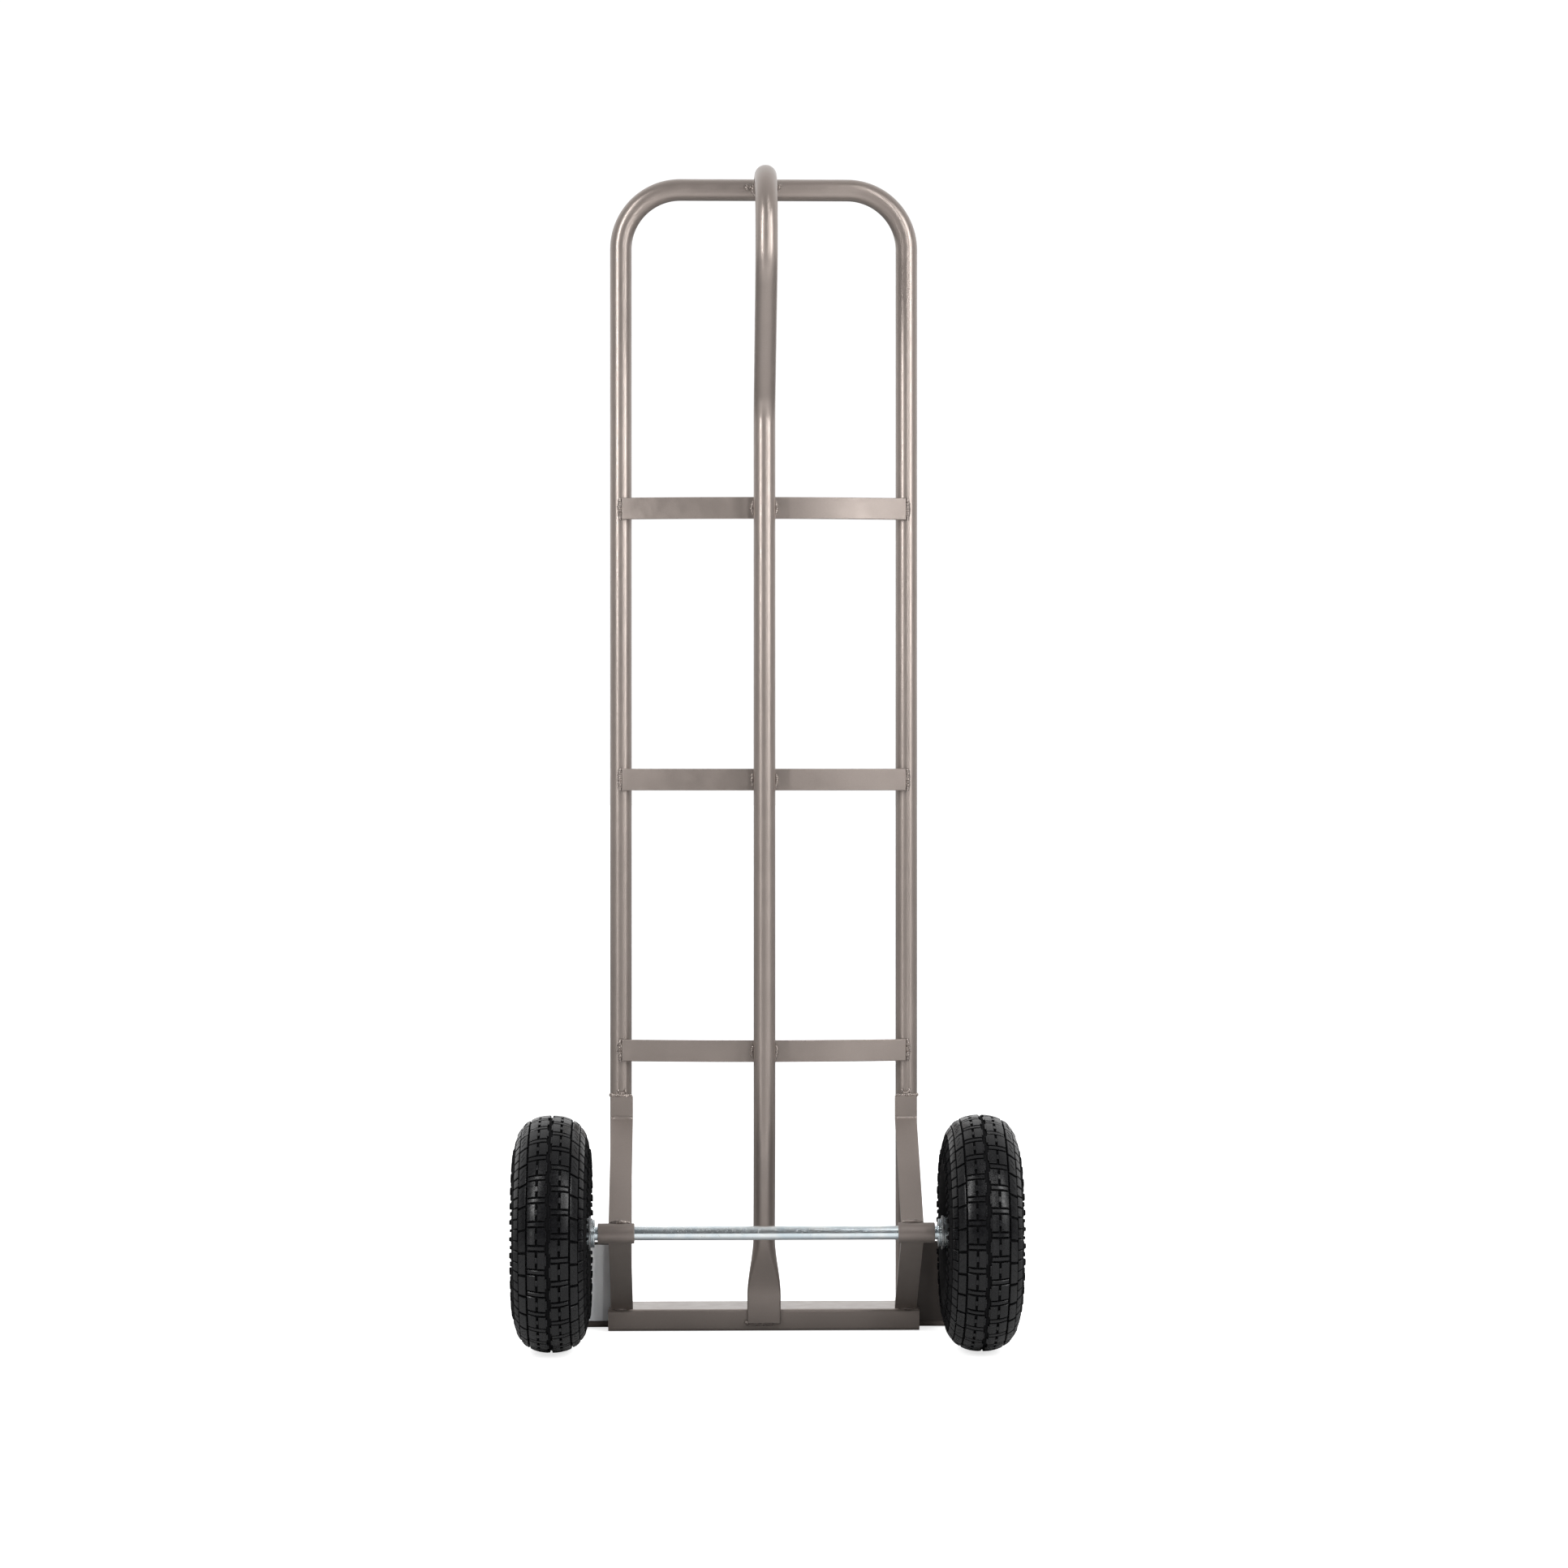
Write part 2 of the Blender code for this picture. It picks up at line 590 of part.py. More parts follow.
def build_axle_fasteners(side, word):
    """Two washers inside each hub, one outside it, and the cotter pin through the axle."""
    first = SLEEVE_OUTER_END + AXLE_SHOWING
    second = first + WASHER_THICKNESS + RUNNING_GAP
    outer = HUB_OUTER_FACE + RUNNING_GAP
    for label, near in (("inner_washer", first), ("hub_washer", second), ("outer_washer", outer)):
        start = near if side > 0 else -near - WASHER_THICKNESS
        build_washer(f"{word}_{label}", start)
    build_cotter(side, word)


def build_cotter(side, word):
    """A pin through the axle with an open eye above it and a bent tail below it."""
    x = side * COTTER_X
    top = AXLE_RADIUS + COTTER_STAND_OFF + COTTER_EYE_RADIUS + COTTER_WIRE / 2
    below = -AXLE_RADIUS - COTTER_STAND_OFF - COTTER_WIRE
    corners = [Vector((x, -COTTER_TAIL, below)), Vector((x, 0, below)), Vector((x, 0, top))]
    path = filleted(corners, [COTTER_WIRE], 3)
    for step in range(1, COTTER_EYE_STEPS + 1):
        angle = COTTER_EYE_TURN * step / COTTER_EYE_STEPS
        spot = Vector((x, COTTER_EYE_RADIUS * (1 - math.cos(angle)),
                       top + COTTER_EYE_RADIUS * math.sin(angle)))
        path.append((spot, Vector((0, math.sin(angle), math.cos(angle)))))
    shape = wire(path, Vector((1, 0, 0)), COTTER_WIRE / 2, COTTER_SIDES)
    matrix = Matrix.Translation((0, AXLE_Y, AXLE_HEIGHT))
    place(f"{word}_cotter_pin", shape, "zinc_plate", matrix=matrix)


def tyre_curve(half_width, crown, waist, bead_half, bead_radius):
    """Half a tyre section, from the crown's middle out and in to the bead."""
    points = []
    height = crown - waist
    for step in range(2 * TYRE_ARC_STEPS + 1):
        angle = math.pi / 2 * step / (2 * TYRE_ARC_STEPS)
        power = 2 / TYRE_SQUARENESS
        points.append((half_width * math.sin(angle) ** power,
                       waist + height * math.cos(angle) ** power))
    for step in range(1, TYRE_ARC_STEPS + 1):
        angle = math.pi / 2 * step / TYRE_ARC_STEPS
        points.append((bead_half + (half_width - bead_half) * math.cos(angle),
                       waist - (waist - bead_radius) * math.sin(angle)))
    return points


def mirrored(half):
    """A whole section curve from the half that starts on the middle plane."""
    return [(-x, radius) for x, radius in reversed(half[1:])] + half


def build_tyre(word, hub):
    outside = mirrored(tyre_curve(TYRE_WIDTH / 2, TYRE_RADIUS, TYRE_WAIST, BEAD_OUTER,
                                  TYRE_SEAT + RIM_FLANGE_RADIUS - BEAD_RADIUS))
    outside = [(-BEAD_OUTER, TYRE_SEAT)] + outside + [(BEAD_OUTER, TYRE_SEAT)]
    inside = mirrored(tyre_curve(TYRE_WIDTH / 2 - TYRE_SIDEWALL, TYRE_RADIUS - TYRE_TREAD, TYRE_WAIST,
                                 BEAD_INNER, TYRE_SEAT + TYRE_BEAD_HEIGHT))
    inside = [(-BEAD_INNER, TYRE_SEAT)] + inside + [(BEAD_INNER, TYRE_SEAT)]
    shape = turned(outside + inside[::-1], TYRE_SEGMENTS)
    place(f"{word}_tyre", shape, "tyre_rubber", hub)


def inner_tube_ring(inset):
    """Section of the inflated tube: the tyre's inside, drawn in by its clearance and the inset,
    with a foot between the beads."""
    margin = TUBE_CLEARANCE + inset
    ring = mirrored(tyre_curve(TYRE_WIDTH / 2 - TYRE_SIDEWALL - margin,
                               TYRE_RADIUS - TYRE_TREAD - margin, TYRE_WAIST,
                               BEAD_INNER - margin, TYRE_SEAT + TYRE_BEAD_HEIGHT + margin))
    return ring + [(0, BEAD_RADIUS + INNER_TUBE_WALL + margin)]


def build_inner_tube(side, word, hub):
    outer = turned(inner_tube_ring(0.0), INNER_TUBE_SEGMENTS)
    tube = place(f"{word}_inner_tube", outer, "tube_rubber", hub)
    hollow = turned(inner_tube_ring(INNER_TUBE_WALL), INNER_TUBE_SEGMENTS)
    bore = rod(VALVE_BORE / 2, BEAD_RADIUS - CUT_OVERRUN, BEAD_RADIUS + TYRE_WIDTH / 2, BORE_SIDES, "Z")
    turn_valve(bore, side)
    cut(tube, [hollow, bore])


def turn_valve(shape, side):
    """Moves a valve shape, drawn upwards on the wheel's middle plane, to its place between bolts."""
    bmesh.ops.translate(shape, verts=shape.verts, vec=(side * VALVE_OFFSET, 0, 0))
    turn = Matrix.Rotation(math.pi / BOLT_COUNT, 3, "X")
    bmesh.ops.rotate(shape, verts=shape.verts, cent=(0, 0, 0), matrix=turn)


def rim_profile(side):
    """Stamped sheet of one rim half: web, shoulder, bead seat and flange."""
    sheet = RIM_SHEET
    face = TOUCH_GAP / 2
    seat = BEAD_RADIUS
    edge = RIM_HALF_WIDTH
    lip = edge + RIM_FLANGE_LIP
    inner_radius = HUB_DIAMETER / 2 + TOUCH_GAP
    outside = [(face, inner_radius), (face, RIM_WEB_RADIUS + sheet),
               (face + RIM_SHOULDER / 2, seat - sheet / 2), (face + RIM_SHOULDER, seat),
               (edge, seat), (edge, RIM_FLANGE_RADIUS - sheet), (lip, RIM_FLANGE_RADIUS)]
    inside = [(lip, RIM_FLANGE_RADIUS - sheet), (edge + sheet, RIM_FLANGE_RADIUS - 2 * sheet),
              (edge + sheet, seat - sheet), (face + RIM_SHOULDER + sheet / 2, seat - sheet),
              (face + sheet, RIM_WEB_RADIUS), (face + sheet, inner_radius)]
    return [(side * x, radius) for x, radius in outside + inside]


def build_rim_half(side, way, name, hub):
    """The way is +1 for the half on the wheel's outer side and -1 for the other."""
    facing = side * way
    rim = place(name, turned(rim_profile(facing), RIM_SEGMENTS), "rim_steel", hub)
    holes = []
    reach = RIM_SHEET + CUT_OVERRUN
    for order in range(BOLT_COUNT):
        hole = rod(BOLT_DIAMETER / 2 + TOUCH_GAP, -reach, reach, BORE_SIDES)
        bmesh.ops.translate(hole, verts=hole.verts, vec=bolt_place(order))
        holes.append(hole)
    if way > 0:
        opening = rod(VALVE_DIAMETER / 2 + TOUCH_GAP, BEAD_RADIUS - RIM_SHEET - CUT_OVERRUN,
                      BEAD_RADIUS + CUT_OVERRUN, BORE_SIDES, "Z")
        turn_valve(opening, side)
        holes.append(opening)
    cut(rim, holes)


def bolt_place(order):
    angle = 2 * math.pi * order / BOLT_COUNT
    return Vector((0, BOLT_CIRCLE_RADIUS * math.cos(angle), BOLT_CIRCLE_RADIUS * math.sin(angle)))


def build_hub(side, word, hub):
    """Offset hub tube with a collar against the inner rim half."""
    near = WHEEL_TO_HUB + BEARING_FLANGE + TOUCH_GAP
    far = WHEEL_TO_HUB + HUB_LENGTH - BEARING_FLANGE - TOUCH_GAP
    radius = HUB_DIAMETER / 2
    bore = radius - HUB_WALL
    collar_face = -TOUCH_GAP / 2 - RIM_SHEET - TOUCH_GAP
    collar = HUB_COLLAR_DIAMETER / 2
    profile = [(near, bore), (far, bore), (far, radius), (collar_face, radius),
               (collar_face, collar), (collar_face - HUB_COLLAR_THICKNESS, collar),
               (collar_face - HUB_COLLAR_THICKNESS, radius), (near, radius)]
    shape = turned([(side * x, r) for x, r in profile], SMALL_SEGMENTS)
    place(f"{word}_hub", shape, "zinc_plate", hub)


def build_bearing(side, word, label, face, inward, hub):
    """Flanged ball bearing; inward is the direction from its face into the hub."""
    flange = face + inward * BEARING_FLANGE
    back = face + inward * (BEARING_FLANGE + BEARING_DEPTH)
    body = HUB_DIAMETER / 2 - HUB_WALL - TOUCH_GAP
    race = BORE_RADIUS + BEARING_RACE
    recess = face + inward * BEARING_RECESS
    shield = body - BEARING_RACE / 2
    profile = [(face, BORE_RADIUS), (face, race), (recess, race), (recess, shield), (face, shield),
               (face, BEARING_FLANGE_DIAMETER / 2), (flange, BEARING_FLANGE_DIAMETER / 2),
               (flange, body), (back, body), (back, BORE_RADIUS)]
    shape = turned([(side * x, r) for x, r in profile], SMALL_SEGMENTS)
    place(f"{word}_{label}_bearing", shape, "bearing_steel", hub)


def hexagon(width, start, end):
    """A hexagonal prism along X."""
    return rod(width / math.sqrt(3), start, end, 6)


def build_rim_bolts(side, word, hub):
    seat = TOUCH_GAP / 2 + RIM_SHEET + TOUCH_GAP
    tail = seat + NUT_HEIGHT + BOLT_TAIL
    for order in range(BOLT_COUNT):
        spot = Matrix.Translation(bolt_place(order))
        low, high = sorted((side * seat, side * (seat + BOLT_HEAD_HEIGHT)))
        shape = hexagon(BOLT_HEAD_WIDTH, low, high)
        bolt = place(f"{word}_rim_bolt_{order + 1}", shape, "zinc_plate", hub, spot)
        low, high = sorted((side * (seat + BOLT_HEAD_HEIGHT / 2), -side * tail))
        cut(bolt, [rod(BOLT_DIAMETER / 2, low, high, BOLT_SIDES)], "UNION")
        low, high = sorted((-side * seat, -side * (seat + NUT_HEIGHT)))
        nut = place(f"{word}_rim_nut_{order + 1}", hexagon(BOLT_HEAD_WIDTH, low, high),
                    "zinc_plate", hub, spot)
        low, high = low - CUT_OVERRUN, high + CUT_OVERRUN
        cut(nut, [rod(BOLT_DIAMETER / 2 + TOUCH_GAP, low, high, BOLT_SIDES)])


def build_valve(side, word, hub):
    """Bent stem from the inner tube through the outer rim half, and its screw cap."""
    foot = BEAD_RADIUS + INNER_TUBE_WALL
    end = side * VALVE_REACH
    corners = [Vector((0, 0, foot)), Vector((0, 0, VALVE_BEND_HEIGHT)),
               Vector((end - side * VALVE_OFFSET, 0, VALVE_BEND_HEIGHT))]
    path = filleted(corners, [VALVE_BEND_RADIUS], 4)
    stem = wire(path, Vector((0, 1, 0)), VALVE_DIAMETER / 2, BORE_SIDES)
    turn_valve(stem, side)
    place(f"{word}_valve_stem", stem, "tube_rubber", hub)
    near = end - side * VALVE_OFFSET + side * TOUCH_GAP
    low, high = sorted((near, near + side * VALVE_CAP_LENGTH))
    cap = rod(VALVE_CAP_DIAMETER / 2, low, high, BORE_SIDES)
    bmesh.ops.translate(cap, verts=cap.verts, vec=(0, 0, VALVE_BEND_HEIGHT))
    turn_valve(cap, side)
    place(f"{word}_valve_cap", cap, "cap_plastic", hub)


def build_wheel(side, word):
    """All pieces of one wheel under an empty that stands on the axle's axis."""
    hub = bpy.data.objects.new(f"{word}_wheel_axis", None)
    bpy.context.scene.collection.objects.link(hub)
    hub.location = (side * WHEEL_X, AXLE_Y, AXLE_HEIGHT)
    build_tyre(word, hub)
    build_inner_tube(side, word, hub)
    build_rim_half(side, -1, f"{word}_rim_inner_half", hub)
    build_rim_half(side, 1, f"{word}_rim_outer_half", hub)
    build_hub(side, word, hub)
    build_bearing(side, word, "inner", WHEEL_TO_HUB, 1, hub)
    build_bearing(side, word, "outer", WHEEL_TO_HUB + HUB_LENGTH, -1, hub)
    build_rim_bolts(side, word, hub)
    build_valve(side, word, hub)


def main():
    clear_scene()
    build_outer_frame()
    build_base_bar()
    build_crossbars()
    build_centre_post()
    build_toe_plate()
    build_axle()
    for side, word in ((-1, "left"), (1, "right")):
        build_axle_mount(side, word)
        build_axle_fasteners(side, word)
        build_wheel(side, word)


main()
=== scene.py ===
"""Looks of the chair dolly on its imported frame: paint, zinc, treaded tyres, weld beads and studio.

Lengths are in metres. +Z is up, +Y is the toe plate's side and the camera looks from -Y.
"""
import json
import math

import bmesh
import bpy
from mathutils import Matrix, Vector, noise


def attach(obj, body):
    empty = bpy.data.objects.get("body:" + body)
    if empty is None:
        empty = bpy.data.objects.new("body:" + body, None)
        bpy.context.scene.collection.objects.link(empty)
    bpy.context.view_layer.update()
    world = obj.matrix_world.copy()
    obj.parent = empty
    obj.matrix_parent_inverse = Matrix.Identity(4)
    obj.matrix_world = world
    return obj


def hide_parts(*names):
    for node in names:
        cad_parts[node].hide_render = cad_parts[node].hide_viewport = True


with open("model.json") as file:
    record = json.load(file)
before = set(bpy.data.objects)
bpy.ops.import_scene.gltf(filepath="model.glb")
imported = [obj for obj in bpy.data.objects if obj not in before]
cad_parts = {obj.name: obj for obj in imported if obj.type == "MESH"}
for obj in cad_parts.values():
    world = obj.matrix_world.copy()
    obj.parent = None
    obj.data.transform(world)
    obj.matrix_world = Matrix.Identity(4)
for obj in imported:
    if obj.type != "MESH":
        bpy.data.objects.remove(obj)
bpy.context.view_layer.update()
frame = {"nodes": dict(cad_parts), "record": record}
nodes = frame["nodes"]

SIDES = ((-1, "left"), (1, "right"))

# Frame sizes, the same as in the CAD model
GAP = 0.0003                # between pieces that are welded
RUNNING_GAP = 0.0004        # between pieces that turn
TUBE = 0.0127               # tube's outside radius
WALL = 0.0016
RAIL_X = 0.168
RAIL_Y = 0.045
TOP_Z = 1.341
CORNER = 0.070
BASE = 0.0254
BAR_HEIGHT = 0.0254
BAR_THICK = 0.004
BAR_BOW = 0.016
BAR_INSET = 0.002
BAR_LEVELS = {"lower_crossbar": 0.3302, "middle_crossbar": 0.6477, "upper_crossbar": 0.9652}
BAR_FACE = TUBE + GAP
PLATE_REAR = RAIL_Y + BAR_FACE
STRUT_X = 0.1665
STRUT_HALF = 0.0127

# Centre post: its flattened foot on the base bar, its way back behind the crossbars and its handle loop
POST_Y = RAIL_Y - BAR_FACE - BAR_BOW - BAR_THICK - GAP - TUBE
FLAT_HALF_WIDTH = 0.0197
FLAT_HALF_DEPTH = 0.0022
LAP_Y = RAIL_Y - BAR_FACE - FLAT_HALF_DEPTH
POST_FOOT_Z = 0.010
LAP_TOP_Z = 0.042
ROUND_FROM_Z = 0.112
BACK_BY_Z = 0.250
GRIP_Y = POST_Y - 0.130     # the handle reaches this far behind the post
GRIP_BENDS_Z = (1.083, 1.235)
GRIP_BEND_RADII = (0.060, 0.060, 0.0762)
COPE = 0.0015               # how far the handle's end reaches past the top bar's near face

# Axle, sleeves, washers, hubs and bearings
AXLE_Y = -0.115
AXLE_Z = 0.1335
AXLE_R = 0.0079375
AXLE_HALF = 0.2667
AXLE_CHAMFER = 0.001
AXLE_CORE = 0.0004          # the turned bar stays open by this radius on its axis
AXLE_SHOWING = 0.0036
SLEEVE_FROM_X = 0.1497
SLEEVE_TO_X = 0.1912
SLEEVE_R = 0.0115
WASHER_THICK = 0.0017
WASHER_R = 0.015875
HUB_LENGTH = 0.05715
HUB_BORE_R = 0.0156
HUB_R = 0.0175
HUB_INSET = 0.0023          # the hub barrel ends this far inside the bearings' faces
COLLAR_R = 0.022
COLLAR_THICK = 0.003
COLLAR_FACE = 0.00245       # from the wheel's middle plane
BEARING_R = 0.0153
BEARING_FLANGE_R = 0.0193
BEARING_FLANGE = 0.002
BEARING_LENGTH = 0.012
BEARING_RING = 0.0036       # radial height of the inner race
SHIELD_INSET = 0.0006
OUTER_RACE = 0.0018

# Wheels
WHEEL_X = 0.243
TYRE_R = 0.1335
TYRE_HALF = 0.0445
TYRE_SQUARENESS = 2.35      # power of the superellipse of the tyre's section
BEAD_R = 0.0508
BEAD_FIT = 0.0005           # between the tyre's bead and the rim's seat
BEAD_OUTER = 0.0267
BEAD_THICK = 0.009
BEAD_LIP = 0.0085           # the bead's height over its seat, inside
FLANGE_SEAT = 0.0583
WAIST = (TYRE_R + BEAD_R) / 2 - 0.0085      # radius at which the tyre is widest
SIDE_THICK = 0.0047
CROWN_THICK = 0.0087
PITCHES = 31
PITCH = 2 * math.pi * TYRE_R / PITCHES
BLOCK_DEPTH = 0.0026
LUG_ROOT = 0.0006           # how far a lug reaches into the carcass
LUG_ROUNDING = 0.0006
GLOSSY_BAND = 0.022         # lugs further than this under the crown have the dull skin

# Lugs of one pitch on one side of the crown: distance from the crown along the section, place along the
# pitch as a share of it, width, length, height over the tyre's nominal outside, skew
LUGS = (
    (0.0190, 0.00, 0.0098, PITCH - 0.0080, 0.0, 0.0),       # crown block, its outer half
    (0.0072, 0.00, 0.0086, PITCH - 0.0080, 0.0, 0.0),       # crown block, its inner half
    (0.0026, 0.00, 0.0024, PITCH * 0.44, 0.0, 0.0),         # its tongue into the centre groove
    (0.0128, 0.00, 0.0040, PITCH * 0.24, -0.0001, 0.0),     # bridge between the halves
    (0.0134, 0.50, 0.0200, 0.0044, 0.0, 0.0),               # bar between two crown blocks
    (0.0312, 0.25, 0.0104, PITCH - 0.0030, 0.0, 0.16),      # shoulder block
    (0.0312, 0.08, 0.0058, 0.0008, 0.0003, 1.1),            # and its two slanted ribs
    (0.0312, 0.36, 0.0058, 0.0008, 0.0003, 1.1),
    (0.0428, -0.05, 0.0094, PITCH * 0.46, -0.0002, 0.0),    # side blocks
    (0.0428, 0.45, 0.0094, PITCH * 0.40, -0.0005, 0.0),
    (0.0530, 0.20, 0.0074, PITCH * 0.70, -0.0010, 0.0),
    (0.0605, 0.20, 0.0040, PITCH * 0.30, -0.0014, 0.0),
    (0.0695, 0.20, 0.0110, PITCH * 0.22, -0.0002, 0.0),     # lugs low on the side
    (0.0680, 0.70, 0.0080, PITCH * 0.16, -0.0009, 0.0),
)

# Section of a pressed rim half: distance from the wheel's middle plane, radius
RIM_SECTION = (
    (0.00015, 0.0178), (0.00015, 0.0425), (0.00315, 0.0498), (0.00615, 0.0508), (0.027, 0.0508),
    (0.027, 0.056), (0.031, 0.058), (0.031, 0.056), (0.029, 0.054), (0.029, 0.0488),
    (0.00715, 0.0488), (0.00215, 0.0405), (0.00215, 0.0178),
)

# Heights of the struts' welds, and the blank label's low x, high x, low z, high z
STRUT_TOP_Z = 0.2765
STRUT_BEND_Z = 0.2506
LABEL_BOX = (-0.2225, -0.1740, 0.0086, 0.0985)
LABEL_CORNER = 0.002

# Steps and sides of round forms
TUBE_SIDES = 56
CORNER_STEPS = 28
POST_STEPS = 36
GRIP_STEPS = 22
LATHE_SIDES = 72
AXLE_SIDES = 64
RIM_SIDES = 96
TYRE_SIDES = 160
CROWN_STEPS = 40            # of the tyre's section, from the crown to the waist
SIDE_STEPS = 18             # and from the waist to the bead
INSIDE_CROWN_STEPS = 14
INSIDE_SIDE_STEPS = 6
ARC_STEPS = 160             # of the table that places the lugs
BAR_STEPS = 60

# Weld beads: sides, length of a step, and how far and how often their thickness varies
BEAD_SIDES = 12
BEAD_STEP = 0.0006
BEAD_RIPPLE = 0.13
BEAD_RIPPLE_TURN = 2.3      # radians per step
BEAD_ROUGH = 0.34
BEAD_ROUGH_SCALE = 420.0

# Widths of rounded edges
SHEET_EDGE = 0.0009         # crossbars, struts, base bar and toe plate
SLEEVE_EDGE = 0.0008
WASHER_EDGE = 0.0004
BEARING_EDGE = 0.0002
HUB_EDGE = 0.0005
RIM_EDGE = 0.0006
BOLT_EDGE = 0.0005

# Studio floor: radius, how far it lies under the part, and its tone and glow to the camera
FLOOR_RADIUS = 60.0
FLOOR_DROP = 0.0005
FLOOR_TONE = (0.85, 0.85, 0.85, 1.0)
FLOOR_GLOW = 0.72
WHITE = (1.0, 1.0, 1.0, 1.0)
BACKDROP_GLOW = 1.05

# Camera, fitted to the photograph
SENSOR_MM = 36.0
LENS_MM = 85.03
CAMERA_PLACE = (-0.0802, -4.315, 0.6622)
CAMERA_DOWN_DEGREES = 0.26
CAMERA_TURN_DEGREES = -1.367

# Area lights: name, place, aim, width, height, watts
LIGHTS = (
    ("left_softbox", (-1.18, -1.28, 1.65), (0.0, 0.0, 1.3), 0.18, 1.7, 26.0),
    ("right_softbox", (1.50, -1.35, 1.60), (0.0, 0.0, 1.3), 0.50, 1.7, 30.0),
    ("front_strip", (0.44, -1.05, 1.60), (0.1, 0.0, 1.3), 0.10, 1.8, 6.5),
    ("top_softbox", (0.0, -0.6, 3.2), (0.0, 0.0, 0.6), 1.6, 1.2, 1.0),
    ("left_low_strip", (-1.18, -1.28, 0.30), (0.0, 0.0, 0.25), 0.14, 0.50, 1.3),
    ("front_low_strip", (0.44, -1.05, 0.30), (0.1, 0.0, 0.25), 0.10, 0.50, 0.35),
    ("right_low_strip", (1.50, -1.35, 0.30), (0.0, 0.0, 0.25), 0.24, 0.50, 1.2),
)


# Materials. Texture scales are in waves per metre and bump distances in metres.

def shade(colour, factor):
    return tuple(channel * factor for channel in colour)


class Graph:
    """Shorthand for one material's node tree."""

    def __init__(self, name):
        self.material = bpy.data.materials.new(name)
        self.material.use_nodes = True
        self.tree = self.material.node_tree
        self.shader = self.tree.nodes["Principled BSDF"]
        self.place = self.node("ShaderNodeTexCoord").outputs["Object"]

    def node(self, kind, **settings):
        made = self.tree.nodes.new(kind)
        for key, value in settings.items():
            setattr(made, key, value)
        return made

    def feed(self, target, source):
        """Links a socket to the target, or gives the target a constant."""
        if isinstance(source, bpy.types.NodeSocket):
            self.tree.links.new(source, target)
        else:
            target.default_value = source

    def noise(self, scale, detail=3.0, rough=0.5, distortion=0.0, where=None):
        made = self.node("ShaderNodeTexNoise")
        self.feed(made.inputs["Vector"], where or self.place)
        made.inputs["Scale"].default_value = scale
        made.inputs["Detail"].default_value = detail
        made.inputs["Roughness"].default_value = rough
        made.inputs["Distortion"].default_value = distortion
        return made.outputs["Fac"]

    def cells(self, scale):
        made = self.node("ShaderNodeTexVoronoi")
        self.feed(made.inputs["Vector"], self.place)
        made.inputs["Scale"].default_value = scale
        return made.outputs["Color"]

    def stretched(self, factors):
        made = self.node("ShaderNodeMapping")
        self.feed(made.inputs["Vector"], self.place)
        made.inputs["Scale"].default_value = factors
        return made.outputs["Vector"]

    def along(self, axis):
        """The object's own coordinate on one axis."""
        made = self.node("ShaderNodeSeparateXYZ")
        self.feed(made.inputs[0], self.place)
        return made.outputs[axis]

    def spread(self, value, low, high, out_low=0.0, out_high=1.0):
        made = self.node("ShaderNodeMapRange")
        self.feed(made.inputs["Value"], value)
        limits = {"From Min": low, "From Max": high, "To Min": out_low, "To Max": out_high}
        for key, number in limits.items():
            made.inputs[key].default_value = number
        return made.outputs["Result"]

    def sum(self, first, second, operation="ADD"):
        made = self.node("ShaderNodeMath", operation=operation)
        self.feed(made.inputs[0], first)
        self.feed(made.inputs[1], second)
        return made.outputs[0]

    def scaled(self, value, factor):
        return self.sum(value, factor, "MULTIPLY")

    def mix(self, share, first, second):
        made = self.node("ShaderNodeMix", data_type="RGBA")
        self.feed(made.inputs["Factor"], share)
        for socket, colour in ((made.inputs["A"], first), (made.inputs["B"], second)):
            self.feed(socket, colour if isinstance(colour, bpy.types.NodeSocket) else (*colour, 1.0))
        return made.outputs["Result"]

    def bump(self, height, distance, strength, under=None):
        made = self.node("ShaderNodeBump")
        made.inputs["Distance"].default_value = distance
        made.inputs["Strength"].default_value = strength
        self.feed(made.inputs["Height"], height)
        if under:
            self.feed(made.inputs["Normal"], under)
        return made.outputs["Normal"]

    def set(self, **values):
        names = {"colour": "Base Color", "rough": "Roughness", "metal": "Metallic", "normal": "Normal",
                 "specular": "Specular IOR Level", "coat": "Coat Weight", "coat_rough": "Coat Roughness"}
        for key, value in values.items():
            self.feed(self.shader.inputs[names[key]], value)
        return self.material


def paint(name, colour, light, rough, drips=0.0, painted_shade_heights=None):
    """Satin metallic paint: fine flake, orange peel, faint clouds and rubbed places.

    painted_shade_heights holds two heights between which the colour falls to a painted shade, as of a
    shaded inside.
    """
    g = Graph(name)
    flake = g.spread(g.cells(2600.0), 0.25, 0.9)
    clouds = g.spread(g.noise(7.0, 4.0, 0.55), 0.3, 0.7)
    rubbed = g.spread(g.noise(26.0, 6.0, 0.7, 0.6), 0.60, 0.74)
    base = g.mix(clouds, shade(colour, 0.93), shade(colour, 1.07))
    base = g.mix(g.scaled(flake, 0.12), base, light)
    base = g.mix(g.scaled(rubbed, 0.12), base, shade(colour, 1.30))
    if painted_shade_heights:
        # painted shade: above these heights the paint darkens to 0.3 of its colour
        base = g.mix(g.spread(g.along("Z"), *painted_shade_heights), base, shade(colour, 0.30))
    normal = g.bump(g.noise(420.0, 2.0, 0.5), 0.000012, 0.4)
    normal = g.bump(g.noise(1900.0, 2.0, 0.6), 0.000005, 0.3, normal)
    if drips:
        normal = g.bump(g.noise(160.0, 3.0, 0.6), drips, 0.8, normal)
    roughness = g.spread(g.noise(60.0, 4.0, 0.6), 0.3, 0.75, rough - 0.05, rough + 0.07)
    return g.set(colour=base, rough=roughness, metal=0.62, normal=normal, coat=0.18, coat_rough=0.30)


